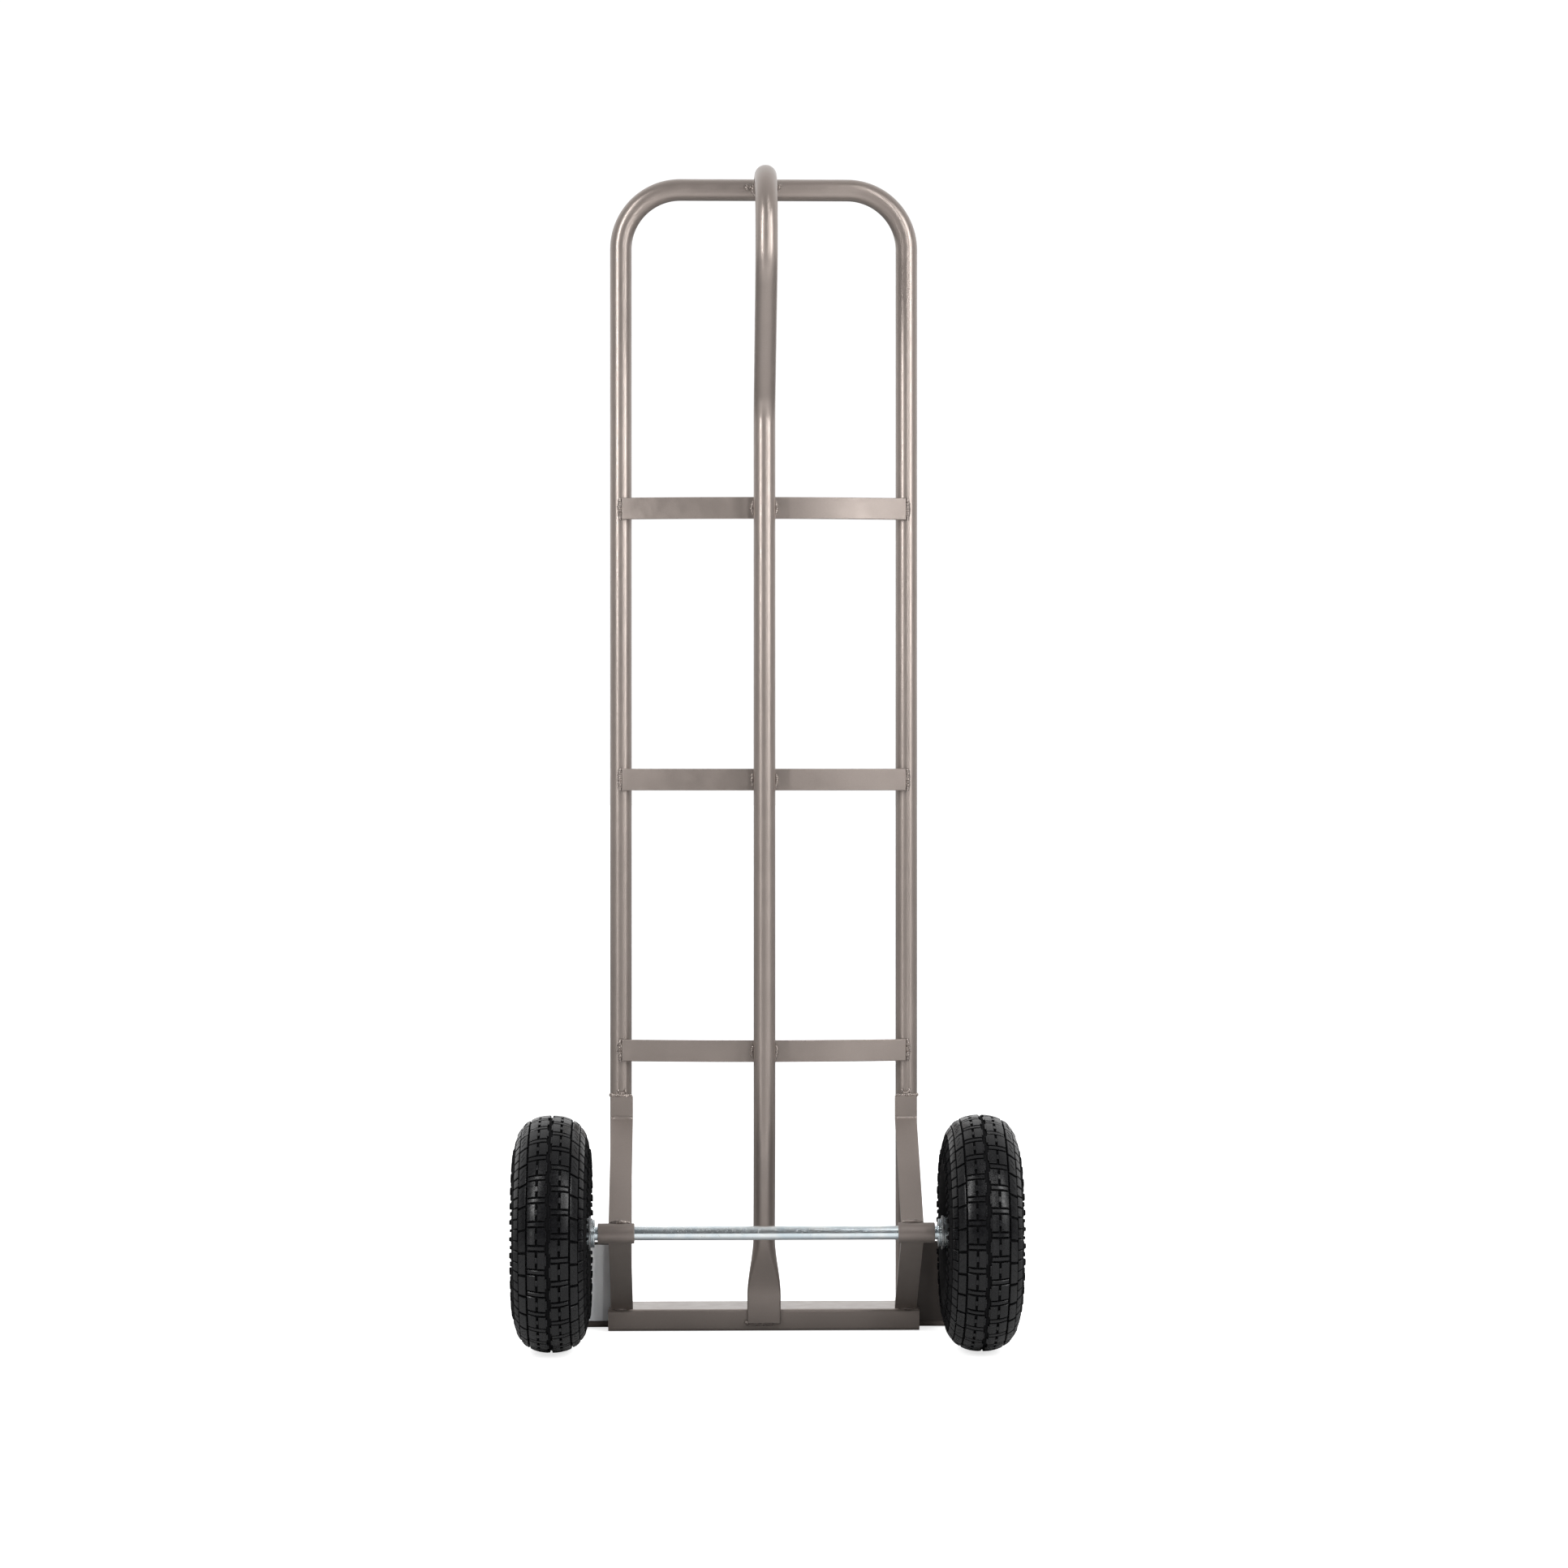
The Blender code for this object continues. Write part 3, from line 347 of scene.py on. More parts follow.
def zinc(name, colour, blue, rough, grain):
    """Bright zinc plate: a drawn or pressed grain with a bluish bloom and a few dull spots."""
    g = Graph(name)
    lines = g.noise(1.0, 5.0, 0.65, 0.0, g.stretched(grain))
    bloom = g.spread(g.noise(34.0, 4.0, 0.6, 0.8), 0.35, 0.7)
    spots = g.spread(g.noise(240.0, 3.0, 0.7), 0.62, 0.72)
    base = g.mix(bloom, colour, blue)
    base = g.mix(g.scaled(g.spread(lines, 0.3, 0.7), 0.30), base, shade(colour, 0.72))
    base = g.mix(g.scaled(spots, 0.35), base, (0.42, 0.41, 0.38))
    roughness = g.sum(g.spread(lines, 0.25, 0.75, rough - 0.06, rough + 0.08),
                      g.spread(spots, 0.0, 1.0, 0.0, 0.14))
    return g.set(colour=base, rough=roughness, metal=1.0, normal=g.bump(lines, 0.00006, 0.5))


def rubber(name, colour, dusty, rough, dust, gloss=0.24):
    """Moulded rubber: pebbled skin, faint sheen and dust that settles in patches."""
    g = Graph(name)
    waves = g.noise(190.0, 3.0, 0.6)
    dust_share = g.spread(g.noise(48.0, 6.0, 0.72, 0.4), 0.52, 0.80, 0.0, dust)
    base = g.mix(g.spread(waves, 0.3, 0.7), colour, shade(colour, 1.5))
    base = g.mix(dust_share, base, dusty)
    skin_rough = g.spread(g.noise(320.0, 4.0, 0.65), 0.3, 0.7, rough - 0.08, rough + 0.10)
    normal = g.bump(waves, 0.00010, 0.4)
    normal = g.bump(g.noise(1500.0, 3.0, 0.6), 0.00002, 0.4, normal)
    return g.set(colour=base, rough=g.sum(skin_rough, dust_share), metal=0.0, normal=normal,
                 specular=gloss)


def sticker(name):
    """Coated paper: faint fibres, slightly glossy."""
    g = Graph(name)
    fibres = g.noise(900.0, 4.0, 0.7)
    tone = g.mix(g.spread(g.noise(30.0, 3.0), 0.3, 0.7), (0.90, 0.91, 0.93), (0.96, 0.97, 0.98))
    return g.set(colour=tone, rough=g.spread(fibres, 0.3, 0.7, 0.38, 0.5), metal=0.0,
                 normal=g.bump(fibres, 0.00002, 0.5), specular=0.4)


TAUPE_COLOUR = (0.262, 0.222, 0.200)
TAUPE_FLAKE = (0.46, 0.41, 0.38)
GUARD_PAINTED_SHADE_Z = (0.0045, 0.0080)     # painted shade: the guards' paint darkens above the plate, as the photograph shows them dark
PRESSED_GRAIN = (900.0, 260.0, 260.0)

TAUPE = paint("taupe_paint", TAUPE_COLOUR, TAUPE_FLAKE, 0.33)
TAUPE_WELD = paint("taupe_paint_on_weld", (0.270, 0.230, 0.208), (0.48, 0.43, 0.40), 0.25, 0.0003)
# painted shade: the sleeves take a darker copy of the taupe paint, 0.82 of its colour, and a rougher one
TAUPE_SLEEVE_PAINTED_SHADE = paint("taupe_paint_with_painted_shade_on_sleeve", (0.215, 0.182, 0.164), (0.36, 0.32, 0.30), 0.50)
TAUPE_PLATE_PAINTED_SHADE = paint("taupe_paint_with_painted_shade_on_guards", TAUPE_COLOUR, TAUPE_FLAKE, 0.33, 0.0, GUARD_PAINTED_SHADE_Z)
# painted shade: the rims take zinc darkened far below bright zinc, so the dish reads dark as in shade
RIM_ZINC_PAINTED_SHADE = zinc("rim_steel_skin_darkened_as_shade", (0.17, 0.18, 0.19), (0.12, 0.14, 0.16), 0.38, PRESSED_GRAIN)
ZINC_BAR = zinc("zinc_on_bar", (0.82, 0.86, 0.87), (0.62, 0.72, 0.78), 0.22, (60.0, 1100.0, 1100.0))
ZINC_TURNED = zinc("zinc_on_pressings", (0.80, 0.84, 0.85), (0.50, 0.60, 0.66), 0.22, PRESSED_GRAIN)
STEEL = zinc("bearing_steel_skin", (0.50, 0.51, 0.52), (0.42, 0.44, 0.46), 0.28,
             (1400.0, 200.0, 200.0))
TYRE = rubber("tyre_rubber_skin", (0.0032, 0.0032, 0.0038), (0.030, 0.029, 0.028), 0.27, 0.10)
TYRE_WALL = rubber("tyre_wall_skin", (0.0040, 0.0040, 0.0044), (0.026, 0.025, 0.024), 0.86, 0.10, 0.08)
TUBE_RUBBER = rubber("tube_rubber_skin", (0.020, 0.020, 0.020), (0.09, 0.09, 0.09), 0.55, 0.25)
CAP = rubber("cap_plastic_skin", (0.012, 0.012, 0.012), (0.07, 0.07, 0.07), 0.36, 0.10)
LABEL = sticker("blank_label_paper")

BY_SLOT = {"satin_taupe_paint": TAUPE, "zinc_plate": ZINC_TURNED, "rim_steel": RIM_ZINC_PAINTED_SHADE,
           "bearing_steel": STEEL, "tyre_rubber": TYRE, "tube_rubber": TUBE_RUBBER, "cap_plastic": CAP}


# Mesh helpers

def piece(name, shape, material, body, stands_for=(), angle=34.0):
    """Turns a bmesh into a shaded object that rides on a body and may stand for CAD nodes."""
    bmesh.ops.recalc_face_normals(shape, faces=shape.faces)
    mesh = bpy.data.meshes.new(name)
    shape.to_mesh(mesh)
    shape.free()
    mesh.shade_smooth()
    mesh.set_sharp_from_angle(angle=math.radians(angle))
    mesh.materials.append(material)
    made = bpy.data.objects.new(name, mesh)
    bpy.context.scene.collection.objects.link(made)
    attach(made, body)
    if stands_for:
        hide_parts(*stands_for)
    return made


def soften(made, width, segments=2):
    """Rounds the sharp edges of an object."""
    bevel = made.modifiers.new("rounded_edges", "BEVEL")
    bevel.width = width
    bevel.segments = segments
    bevel.limit_method = "ANGLE"
    bevel.angle_limit = math.radians(40)
    bevel.harden_normals = True


def skin(rings, joined=False):
    """A skin over rings of points, closed to a hoop or capped at both ends."""
    shape = bmesh.new()
    rows = [[shape.verts.new(point) for point in ring] for ring in rings]
    pairs = list(zip(rows, rows[1:])) + ([(rows[-1], rows[0])] if joined else [])
    count = len(rings[0])
    for first, second in pairs:
        for index in range(count):
            after = (index + 1) % count
            shape.faces.new((first[index], first[after], second[after], second[index]))
    if not joined:
        shape.faces.new(rows[0])
        shape.faces.new(rows[-1])
    return shape


def turned(profile, segments, centre=(0.0, AXLE_Y, AXLE_Z)):
    """A closed profile of (x, radius) turned about the axle."""
    rings = []
    for step in range(segments):
        angle = 2 * math.pi * step / segments
        rings.append([Vector((x + centre[0], centre[1] + r * math.cos(angle),
                              centre[2] + r * math.sin(angle))) for x, r in profile])
    return skin(rings, joined=True)


def filleted(corners, radii, steps):
    """Points and directions along a line of corners with round bends."""
    path = [(corners[0], (corners[1] - corners[0]).normalized())]
    for before, corner, after, radius in zip(corners, corners[1:], corners[2:], radii):
        inward = (corner - before).normalized()
        outward = (after - corner).normalized()
        turn = inward.angle(outward)
        axis = inward.cross(outward).normalized()
        start = corner - inward * (radius * math.tan(turn / 2))
        centre = start + axis.cross(inward) * radius
        for step in range(steps + 1):
            spin = Matrix.Rotation(turn * step / steps, 3, axis)
            path.append((centre + spin @ (start - centre), spin @ inward))
    path.append((corners[-1], (corners[-1] - corners[-2]).normalized()))
    return path


def ring_at(point, direction, side, half_width, half_depth):
    """An oblong ring across a path: round where the width and the depth are the same."""
    normal = side.cross(direction)
    straight = half_width - half_depth
    ring = []
    for step in range(TUBE_SIDES):
        angle = 2 * math.pi * (step + 0.5) / TUBE_SIDES
        across = half_depth * math.cos(angle) + math.copysign(straight, math.cos(angle))
        ring.append(point + side * across + normal * (half_depth * math.sin(angle)))
    return ring


def pipe(path, side, widths, depths):
    """A tube along a path, open through its bore."""
    stations = list(zip(path, widths, depths))
    outer = [ring_at(point, way, side, w, d) for (point, way), w, d in stations]
    inner = [ring_at(point, way, side, w - WALL, d - WALL) for (point, way), w, d in stations]
    return skin(outer + inner[::-1], joined=True)


def blend(share):
    """A smooth step from 0 to 1."""
    share = min(max(share, 0.0), 1.0)
    return share * share * (3 - 2 * share)


# Frame tubes and bars

def make_outer_frame():
    foot = BASE + GAP
    corners = [Vector((-RAIL_X, RAIL_Y, foot)), Vector((-RAIL_X, RAIL_Y, TOP_Z)),
               Vector((RAIL_X, RAIL_Y, TOP_Z)), Vector((RAIL_X, RAIL_Y, foot))]
    path = filleted(corners, [CORNER] * 2, CORNER_STEPS)
    radii = [TUBE] * len(path)
    piece("outer_frame_tube", pipe(path, Vector((0, 1, 0)), radii, radii), TAUPE, "frame",
          ["outer_frame"])


def make_post():
    """The centre tube: flat on the base bar, round and set back above it, bent to the handle loop."""
    rise = BACK_BY_Z - LAP_TOP_Z
    heights = [POST_FOOT_Z, LAP_TOP_Z]
    heights += [LAP_TOP_Z + rise * step / POST_STEPS for step in range(1, POST_STEPS + 1)]
    path, widths, depths = [], [], []
    for height in heights:
        lean = blend((height - LAP_TOP_Z) / rise)
        roundness = blend((height - LAP_TOP_Z) / (ROUND_FROM_Z - LAP_TOP_Z))
        path.append((Vector((0, LAP_Y + (POST_Y - LAP_Y) * lean, height)), Vector((0, 0, 1))))
        widths.append(FLAT_HALF_WIDTH + (TUBE - FLAT_HALF_WIDTH) * roundness)
        depths.append(FLAT_HALF_DEPTH + (TUBE - FLAT_HALF_DEPTH) * roundness)
    low_bend, high_bend = GRIP_BENDS_Z
    corners = [Vector((0, POST_Y, BACK_BY_Z)), Vector((0, POST_Y, low_bend)),
               Vector((0, GRIP_Y, high_bend)), Vector((0, GRIP_Y, TOP_Z)),
               Vector((0, RAIL_Y - TUBE + COPE, TOP_Z))]
    loop = filleted(corners, GRIP_BEND_RADII, GRIP_STEPS)[1:]
    path += loop
    widths += [TUBE] * len(loop)
    depths += [TUBE] * len(loop)
    piece("post_and_handle_tube", pipe(path, Vector((1, 0, 0)), widths, depths), TAUPE, "frame",
          ["centre_post_handle"], 60.0)


def make_crossbars():
    """Flat bars bent to one arc each, from rail to rail."""
    deepest = BAR_FACE + BAR_BOW
    radius = (RAIL_X ** 2 + deepest ** 2 - BAR_FACE ** 2) / (2 * BAR_BOW)
    centre = RAIL_Y + radius - deepest
    half_angle = math.asin((RAIL_X - BAR_INSET) / radius)
    far = radius + BAR_THICK
    for name, level in BAR_LEVELS.items():
        rings = []
        for step in range(BAR_STEPS + 1):
            angle = half_angle * (2 * step / BAR_STEPS - 1)
            rings.append([Vector((r * math.sin(angle), centre - r * math.cos(angle),
                                  level + end * BAR_HEIGHT / 2))
                          for r, end in ((radius, -1), (radius, 1), (far, 1), (far, -1))])
        bar = piece(f"{name}_strap", skin(rings), TAUPE, "frame", [name])
        soften(bar, SHEET_EDGE, 3)


# Wheels

def superellipse(half_width, crown, steps):
    """Points (x, radius) of half a tyre section, from the crown to the waist."""
    power = 2 / TYRE_SQUARENESS
    points = []
    for step in range(steps + 1):
        angle = math.pi / 2 * step / steps
        points.append((half_width * math.sin(angle) ** power,
                       WAIST + (crown - WAIST) * math.cos(angle) ** power))
    return points


def below_waist(bead_x, half_width, low, steps):
    """Points (x, radius) from the waist in to the bead."""
    points = []
    for step in range(1, steps + 1):
        angle = math.pi / 2 * step / steps
        points.append((bead_x + (half_width - bead_x) * math.cos(angle),
                       WAIST - (WAIST - low) * math.sin(angle)))
    return points


def outer_half(inset, steps=CROWN_STEPS):
    """Half the tyre's outside from the crown to the bead, drawn in by the inset."""
    half_width = TYRE_HALF - inset
    return (superellipse(half_width, TYRE_R - inset, steps)
            + below_waist(BEAD_OUTER, half_width, FLANGE_SEAT + inset, SIDE_STEPS))


def arc_table(curve):
    """Running length along a curve."""
    lengths = [0.0]
    for (x0, r0), (x1, r1) in zip(curve, curve[1:]):
        lengths.append(lengths[-1] + math.hypot(x1 - x0, r1 - r0))
    return lengths


OUTSIDE = outer_half(0.0, ARC_STEPS)
OUTSIDE_ARC = arc_table(OUTSIDE)


def on_tyre(across, height):
    """(x, radius) at a signed distance along the tyre's outside and a height over the carcass."""
    want = abs(across)
    index = 1
    while index < len(OUTSIDE_ARC) - 1 and OUTSIDE_ARC[index] < want:
        index += 1
    span = OUTSIDE_ARC[index] - OUTSIDE_ARC[index - 1]
    share = (want - OUTSIDE_ARC[index - 1]) / span
    (x0, r0), (x1, r1) = OUTSIDE[index - 1], OUTSIDE[index]
    normal_x, normal_r = r0 - r1, x1 - x0
    down = (BLOCK_DEPTH - height) / math.hypot(normal_x, normal_r)
    x = x0 + (x1 - x0) * share - normal_x * down
    r = r0 + (r1 - r0) * share - normal_r * down
    return (math.copysign(x, across), r)


def border(grid):
    """The outer loop of a grid of vertices."""
    return (grid[0] + [line[-1] for line in grid[1:]] + grid[-1][-2::-1]
            + [line[0] for line in grid[-2:0:-1]])


def block(shape, centre, across, along, width, length, height, skew):
    """One lug: across and width follow the section, along and length follow the rolling direction."""
    columns, lines = 4, 3
    layers = []
    for layer_height, inset in ((-LUG_ROOT, 0.0), (height - LUG_ROUNDING, 0.0), (height, LUG_ROUNDING)):
        grid = []
        for line in range(lines + 1):
            v = (line / lines - 0.5) * (length - 2 * inset)
            row = []
            for column in range(columns + 1):
                u = (column / columns - 0.5) * (width - 2 * inset)
                x, r = on_tyre(across + u, layer_height)
                angle = (along + v + skew * u) / TYRE_R
                row.append(shape.verts.new((centre[0] + x, centre[1] + r * math.cos(angle),
                                            centre[2] + r * math.sin(angle))))
            grid.append(row)
        layers.append(grid)
    top = layers[-1]
    for near, far in zip(top, top[1:]):
        for index in range(columns):
            shape.faces.new((near[index], near[index + 1], far[index + 1], far[index]))
    loops = [border(grid) for grid in layers]
    for lower, upper in zip(loops, loops[1:]):
        for index in range(len(lower)):
            after = (index + 1) % len(lower)
            shape.faces.new((lower[index], lower[after], upper[after], upper[index]))
    for grid in layers[:-1]:
        for row in grid[1:-1]:
            for vertex in row[1:-1]:
                shape.verts.remove(vertex)
    shape.faces.new(loops[0])


def make_tyre(side, word):
    """The tyre: a hollow carcass that is open at the bead, and its lugs."""
    centre = (side * WHEEL_X, AXLE_Y, AXLE_Z)
    outer = outer_half(BLOCK_DEPTH)
    bead_x, bead_r = BEAD_OUTER - BEAD_THICK, BEAD_R + BEAD_FIT
    inner = superellipse(TYRE_HALF - SIDE_THICK, TYRE_R - CROWN_THICK, INSIDE_CROWN_STEPS)
    inner += below_waist(bead_x, TYRE_HALF - SIDE_THICK, BEAD_R + BEAD_LIP, INSIDE_SIDE_STEPS)
    inner.append((bead_x, bead_r))
    outside = [(-x, r) for x, r in reversed(outer[1:])] + outer
    inside = [(-x, r) for x, r in reversed(inner[1:])] + inner
    profile = [(-BEAD_OUTER, bead_r)] + outside + [(BEAD_OUTER, bead_r)] + inside[::-1]
    shape = turned(profile, TYRE_SIDES, centre)
    carcass_faces = len(shape.faces)
    for order in range(PITCHES):
        for column, offset in ((-1, 0.0), (1, 0.5)):
            for across, share, width, length, over, skew in LUGS:
                block(shape, centre, column * across, (order + offset + share) * PITCH, width, length,
                      BLOCK_DEPTH + over, column * skew)
    tyre = piece(f"{word}_tyre_with_tread", shape, TYRE, f"{word}_wheel",
                 [f"{word}_tyre"], 30.0)
    tyre.data.materials.append(TYRE_WALL)
    for face in tyre.data.polygons:
        radius = math.hypot(face.center.y - AXLE_Y, face.center.z - AXLE_Z)
        if face.index < carcass_faces or radius < TYRE_R - GLOSSY_BAND:
            face.material_index = 1


def make_round_pieces(side, word):
    """Sleeve, washers, bearings and hub with fine round outlines."""
    bore = AXLE_R + RUNNING_GAP
    wheel = f"{word}_wheel"

    def lathe(name, points, material, body, node, width):
        shape = turned([(side * x, r) for x, r in points], LATHE_SIDES)
        soften(piece(name, shape, material, body, [node]), width)

    lathe(f"{word}_sleeve_tube",
          [(SLEEVE_FROM_X, bore), (SLEEVE_TO_X, bore), (SLEEVE_TO_X, SLEEVE_R),
           (SLEEVE_FROM_X, SLEEVE_R)],
          TAUPE_SLEEVE_PAINTED_SHADE, "frame", f"{word}_axle_sleeve", SLEEVE_EDGE)
    first = SLEEVE_TO_X + AXLE_SHOWING
    second = first + WASHER_THICK + RUNNING_GAP
    hub_face = second + WASHER_THICK + RUNNING_GAP
    far_face = hub_face + HUB_LENGTH
    for label, near in (("inner_washer", first), ("hub_washer", second),
                        ("outer_washer", far_face + RUNNING_GAP)):
        far = near + WASHER_THICK
        lathe(f"{word}_{label}_disc", [(near, bore), (far, bore), (far, WASHER_R), (near, WASHER_R)],
              ZINC_TURNED, "frame", f"{word}_{label}", WASHER_EDGE)
    for label, face, inward in (("inner", hub_face, 1), ("outer", far_face, -1)):
        race, shield = bore + BEARING_RING, BEARING_R - OUTER_RACE
        points = [(0.0, bore), (0.0, race), (SHIELD_INSET, race), (SHIELD_INSET, shield), (0.0, shield),
                  (0.0, BEARING_FLANGE_R), (BEARING_FLANGE, BEARING_FLANGE_R),
                  (BEARING_FLANGE, BEARING_R), (BEARING_LENGTH, BEARING_R), (BEARING_LENGTH, bore)]
        lathe(f"{word}_{label}_bearing_rings", [(face + inward * x, r) for x, r in points], STEEL, wheel,
              f"{word}_{label}_bearing", BEARING_EDGE)
    near, far = hub_face + HUB_INSET, far_face - HUB_INSET
    collar = WHEEL_X - COLLAR_FACE
    collar_near = collar - COLLAR_THICK
    lathe(f"{word}_hub_barrel",
          [(near, HUB_BORE_R), (far, HUB_BORE_R), (far, HUB_R), (collar, HUB_R), (collar, COLLAR_R),
           (collar_near, COLLAR_R), (collar_near, HUB_R), (near, HUB_R)],
          ZINC_TURNED, wheel, f"{word}_hub", HUB_EDGE)


def make_rims(side, word):
    """Both pressed rim halves with rounded shoulders and a rolled lip."""
    for label, way in (("inner", -1), ("outer", 1)):
        shape = turned([(side * WHEEL_X + side * way * x, r) for x, r in RIM_SECTION], RIM_SIDES)
        rim = piece(f"{word}_rim_{label}_pressing", shape, RIM_ZINC_PAINTED_SHADE, f"{word}_wheel",
                    [f"{word}_rim_{label}_half"])
        soften(rim, RIM_EDGE)


def make_axle():
    chamfered = AXLE_R - AXLE_CHAMFER
    points = [(-AXLE_HALF, AXLE_CORE), (-AXLE_HALF, chamfered), (AXLE_CHAMFER - AXLE_HALF, AXLE_R),
              (AXLE_HALF - AXLE_CHAMFER, AXLE_R), (AXLE_HALF, chamfered), (AXLE_HALF, AXLE_CORE)]
    piece("axle_bar", turned(points, AXLE_SIDES), ZINC_BAR, "frame", ["axle"])


# Weld beads, placed and sized against the photograph, and the blank label

def bead(name, points, radius):
    """A rippled weld bead along points, uneven along its length and round at its ends."""
    path = []
    for start, end in zip(points, points[1:]):
        steps = max(4, int((end - start).length / BEAD_STEP))
        path += [start.lerp(end, step / steps) for step in range(steps)]
    path.append(points[-1])
    rings = []
    last = len(path) - 1
    for index, point in enumerate(path):
        direction = (path[min(index + 1, last)] - path[max(index - 1, 0)]).normalized()
        side = direction.orthogonal().normalized()
        other = direction.cross(side)
        taper = math.sin(math.pi * min(max(index / last, 0.03), 0.97)) ** 0.35
        ripple = 1.0 + BEAD_RIPPLE * math.sin(index * BEAD_RIPPLE_TURN)
        ring = []
        for step in range(BEAD_SIDES):
            angle = 2 * math.pi * step / BEAD_SIDES
            out = side * math.cos(angle) + other * math.sin(angle)
            rough = 1.0 + BEAD_ROUGH * noise.noise((point + out * radius) * BEAD_ROUGH_SCALE)
            ring.append(point + out * (radius * taper * ripple * rough))
        rings.append(ring)
    piece(name, skin(rings), TAUPE_WELD, "frame", (), 70.0)


def weld_crossbar(name, level, side, word):
    x = side * (RAIL_X - BAR_INSET + 0.0026)
    bead(f"{name}_{word}_end_weld",
         [Vector((x, RAIL_Y - TUBE - 0.0012, level + share * BAR_HEIGHT))
          for share in (-0.52, 0.0, 0.52)], 0.0034)
    bead(f"{name}_{word}_post_weld",
         [Vector((side * 0.0130, POST_Y + 0.0090, level - 0.0085)),
          Vector((side * 0.0142, POST_Y + 0.0098, level - 0.0010)),
          Vector((side * 0.0134, POST_Y + 0.0092, level + 0.0070))], 0.0026)


def weld_handle(side, word):
    """The handle's end on the top bar: a bead round its side and a nugget beside it."""
    rear = RAIL_Y - TUBE
    arc = []
    for step in range(9):
        angle = math.radians(-62 + 124 * step / 8)
        arc.append(Vector((side * (TUBE + 0.0003) * math.cos(angle),
                           RAIL_Y - TUBE * math.cos(angle) * 0.93, TOP_Z + TUBE * math.sin(angle))))
    bead(f"handle_{word}_weld", arc, 0.0022)
    reach = 0.0205 if side < 0 else 0.0180
    bead(f"handle_{word}_weld_nugget",
         [Vector((side * 0.0125, rear + 0.0002, TOP_Z + 0.0010)),
          Vector((side * reach, rear - 0.0004, TOP_Z + 0.0028)),
          Vector((side * (reach - 0.0010), rear - 0.0004, TOP_Z - 0.0022))], 0.0030)


def weld_strut(side, word):
    """The upper strut on its rail: the bead over its top, a nugget above it and spots at its bend."""
    rear = RAIL_Y - TUBE
    beside = RAIL_Y - TUBE * 0.86
    inner_end = side * (STRUT_X - STRUT_HALF)
    outer_end = side * (STRUT_X + STRUT_HALF)
    bead(f"{word}_strut_top_weld",
         [Vector((inner_end + side * 0.0010, beside, STRUT_TOP_Z)),
          Vector((side * (STRUT_X - 0.004), rear - 0.0016, STRUT_TOP_Z - 0.0003)),
          Vector((side * (STRUT_X + 0.004), rear - 0.0016, STRUT_TOP_Z + 0.0007)),
          Vector((outer_end + side * 0.0010, beside, STRUT_TOP_Z - 0.0003))], 0.0031)
    bead(f"{word}_strut_top_blob",
         [Vector((outer_end - side * 0.0006, RAIL_Y - TUBE * 0.62, STRUT_TOP_Z + 0.0030)),
          Vector((outer_end + side * 0.0004, RAIL_Y - TUBE * 0.66, STRUT_TOP_Z - 0.0015))], 0.0030)
    angles = [math.radians(150 + 240 * step / 8) for step in range(9)]
    bead(f"{word}_strut_top_nugget",
         [Vector((side * STRUT_X + 0.0044 * math.cos(angle), rear - 0.0006,
                  STRUT_TOP_Z + 0.0063 + 0.0034 * math.sin(angle))) for angle in angles], 0.0019)
    for end, label in ((-1, "inner"), (1, "outer")):
        x = side * (STRUT_X + end * (STRUT_HALF - 0.0022))
        bead(f"{word}_strut_bend_{label}_weld",
             [Vector((x - 0.0022, rear - 0.0054, STRUT_BEND_Z + 0.0006)),
              Vector((x + 0.0022, rear - 0.0054, STRUT_BEND_Z - 0.0006))], 0.0015)


def weld_sleeve(side, word):
    inner_end = side * (STRUT_X - STRUT_HALF + 0.001)
    outer_end = side * (STRUT_X + STRUT_HALF - 0.001)
    bead(f"{word}_sleeve_weld",
         [Vector((inner_end, AXLE_Y + 0.0020, AXLE_Z + 0.0122)),
          Vector((side * STRUT_X, AXLE_Y + 0.0010, AXLE_Z + 0.0132)),
          Vector((outer_end, AXLE_Y + 0.0020, AXLE_Z + 0.0118))], 0.0022)


def weld_rail_foot(side, word):
    """A bead round the rear half of the rail's foot on the base bar."""
    foot = []
    for step in range(13):
        angle = math.radians(195 + 150 * step / 12)
        foot.append(Vector((side * RAIL_X + (TUBE + 0.0002) * math.cos(angle),
                            RAIL_Y + (TUBE + 0.0002) * math.sin(angle) * 0.98, BASE + 0.0006)))
    bead(f"{word}_rail_foot_weld", foot, 0.0018)


def make_welds():
    for name, level in BAR_LEVELS.items():
        for side, word in SIDES:
            weld_crossbar(name, level, side, word)
    for side, word in SIDES:
        weld_handle(side, word)
        weld_strut(side, word)
        weld_sleeve(side, word)
        weld_rail_foot(side, word)
    lap = RAIL_Y - BASE / 2 - 0.0010
    bead("post_foot_weld",
         [Vector((x, lap, z)) for x, z in ((-0.0195, 0.0092), (-0.008, 0.0086), (0.008, 0.0088),
                                           (0.0192, 0.0094))], 0.0023)
    bead("post_foot_nugget",
         [Vector((-0.0215, lap, 0.0080)), Vector((-0.0185, lap - 0.0004, 0.0115))], 0.0030)


def make_label():
    """A blank sticker on the left guard's rear face."""
    low_x, high_x, low_z, high_z = LABEL_BOX
    corners = ((high_x, high_z, -1, -1), (low_x, high_z, 1, -1), (low_x, low_z, 1, 1),
               (high_x, low_z, -1, 1))
    outline = []
    for quarter, (x, z, way_x, way_z) in enumerate(corners):
        for step in range(5):
            angle = math.pi / 2 * (quarter + step / 4)
            outline.append((x + LABEL_CORNER * (way_x + math.cos(angle)),
                            z + LABEL_CORNER * (way_z + math.sin(angle))))
    rings = [[Vector((x, PLATE_REAR - off, z)) for x, z in outline] for off in (0.00005, 0.0002)]
    piece("blank_label", skin(rings), LABEL, "frame")


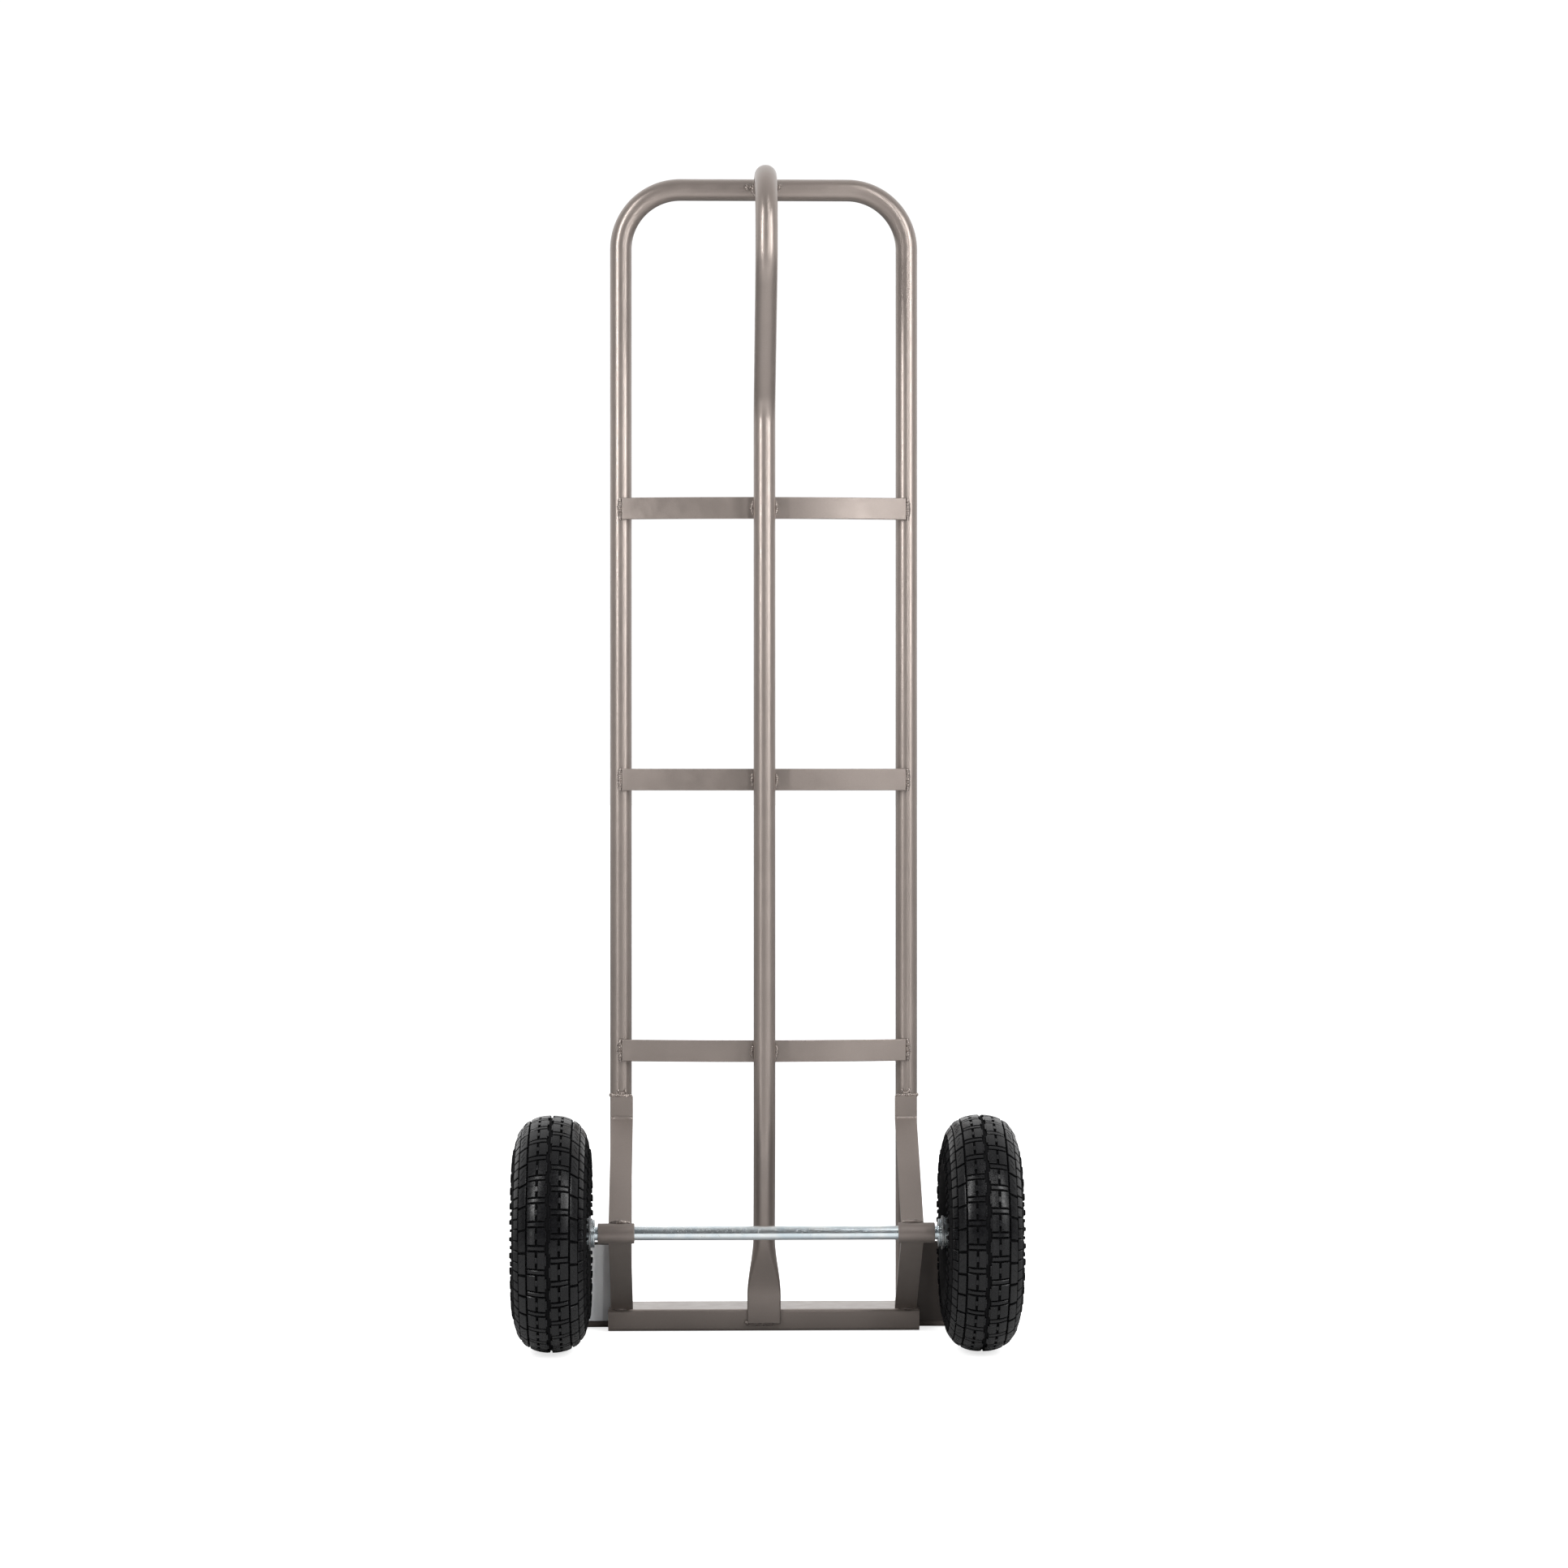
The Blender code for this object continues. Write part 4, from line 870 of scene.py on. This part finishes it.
def dress_nodes():
    """Gives every CAD node its material, and rounds the sharp edges of those that show."""
    record_slots = {part["node"]: part["material_slot"] for part in frame["record"]["subparts"]}
    for name, node in nodes.items():
        # the toe plate and its guards take the paint with painted shade above the plate
        material = TAUPE_PLATE_PAINTED_SHADE if name == "toe_plate" else BY_SLOT[record_slots[name]]
        node.data.materials.clear()
        node.data.materials.append(material)
        if name in ("base_bar", "toe_plate") or "strut" in name:
            soften(node, SHEET_EDGE, 3)
        elif "rim_bolt" in name or "rim_nut" in name:
            soften(node, BOLT_EDGE)


# Studio

def make_floor():
    """White to the camera with a soft contact shadow, and a card that lights the part from below.

    The card is bright in front of the wheels, on the camera's side, and dim from the axle on.
    """
    g = Graph("studio_floor")
    link = g.tree.links.new
    g.tree.nodes.remove(g.shader)
    seen = g.node("ShaderNodeBsdfDiffuse")
    seen.inputs["Color"].default_value = FLOOR_TONE
    glow = g.node("ShaderNodeEmission")
    glow.inputs["Strength"].default_value = FLOOR_GLOW
    both = g.node("ShaderNodeAddShader")
    link(seen.outputs[0], both.inputs[0])
    link(glow.outputs[0], both.inputs[1])
    unseen = g.node("ShaderNodeBsdfDiffuse")
    link(g.spread(g.along("Y"), -0.24, -0.10, 0.90, 0.34), unseen.inputs["Color"])
    choose = g.node("ShaderNodeMixShader")
    link(g.node("ShaderNodeLightPath").outputs["Is Camera Ray"], choose.inputs[0])
    link(unseen.outputs[0], choose.inputs[1])
    link(both.outputs[0], choose.inputs[2])
    link(choose.outputs[0], g.tree.nodes["Material Output"].inputs["Surface"])
    shape = bmesh.new()
    bmesh.ops.create_circle(shape, cap_ends=True, segments=96, radius=FLOOR_RADIUS)
    mesh = bpy.data.meshes.new("studio_floor")
    shape.to_mesh(mesh)
    shape.free()
    mesh.materials.append(g.material)
    floor = bpy.data.objects.new("studio_floor", mesh)
    bpy.context.scene.collection.objects.link(floor)
    floor.location = (0.0, 0.0, -FLOOR_DROP)


def make_world():
    """White to the camera; for reflections, bright behind the dolly and dim behind the camera."""
    world = bpy.data.worlds.new("studio")
    bpy.context.scene.world = world
    world.use_nodes = True
    tree = world.node_tree
    tree.nodes.clear()
    new, link = tree.nodes.new, tree.links.new
    split = new("ShaderNodeSeparateXYZ")
    link(new("ShaderNodeTexCoord").outputs["Generated"], split.inputs[0])
    ramp = new("ShaderNodeMapRange")
    link(split.outputs["Y"], ramp.inputs["Value"])
    limits = {"From Min": -0.35, "From Max": 0.45, "To Min": 0.12, "To Max": 1.15}
    for key, number in limits.items():
        ramp.inputs[key].default_value = number
    room, white = new("ShaderNodeBackground"), new("ShaderNodeBackground")
    for background in (room, white):
        background.inputs["Color"].default_value = WHITE
    link(ramp.outputs["Result"], room.inputs["Strength"])
    white.inputs["Strength"].default_value = BACKDROP_GLOW
    choose = new("ShaderNodeMixShader")
    link(new("ShaderNodeLightPath").outputs["Is Camera Ray"], choose.inputs[0])
    link(room.outputs[0], choose.inputs[1])
    link(white.outputs[0], choose.inputs[2])
    link(choose.outputs[0], new("ShaderNodeOutputWorld").inputs["Surface"])


def make_lights():
    for name, place, aim, width, height, watts in LIGHTS:
        data = bpy.data.lights.new(name, "AREA")
        data.shape = "RECTANGLE"
        data.size = width
        data.size_y = height
        data.energy = watts
        lamp = bpy.data.objects.new(name, data)
        bpy.context.scene.collection.objects.link(lamp)
        lamp.location = place
        lamp.rotation_euler = (Vector(aim) - Vector(place)).to_track_quat("-Z", "Y").to_euler()


def make_camera():
    scene = bpy.context.scene
    scene.view_settings.view_transform = "Standard"
    data = bpy.data.cameras.new("photo_camera")
    data.sensor_width = SENSOR_MM
    data.lens = LENS_MM
    data.clip_end = 200.0
    camera = bpy.data.objects.new("photo_camera", data)
    scene.collection.objects.link(camera)
    camera.location = CAMERA_PLACE
    camera.rotation_euler = (math.radians(90.0 - CAMERA_DOWN_DEGREES), 0.0,
                             math.radians(CAMERA_TURN_DEGREES))
    scene.camera = camera


make_floor()
make_world()
make_lights()
make_camera()
dress_nodes()
make_outer_frame()
make_post()
make_crossbars()
make_axle()
make_welds()
make_label()
for wheel_side, wheel_word in SIDES:
    make_tyre(wheel_side, wheel_word)
    make_round_pieces(wheel_side, wheel_word)
    make_rims(wheel_side, wheel_word)
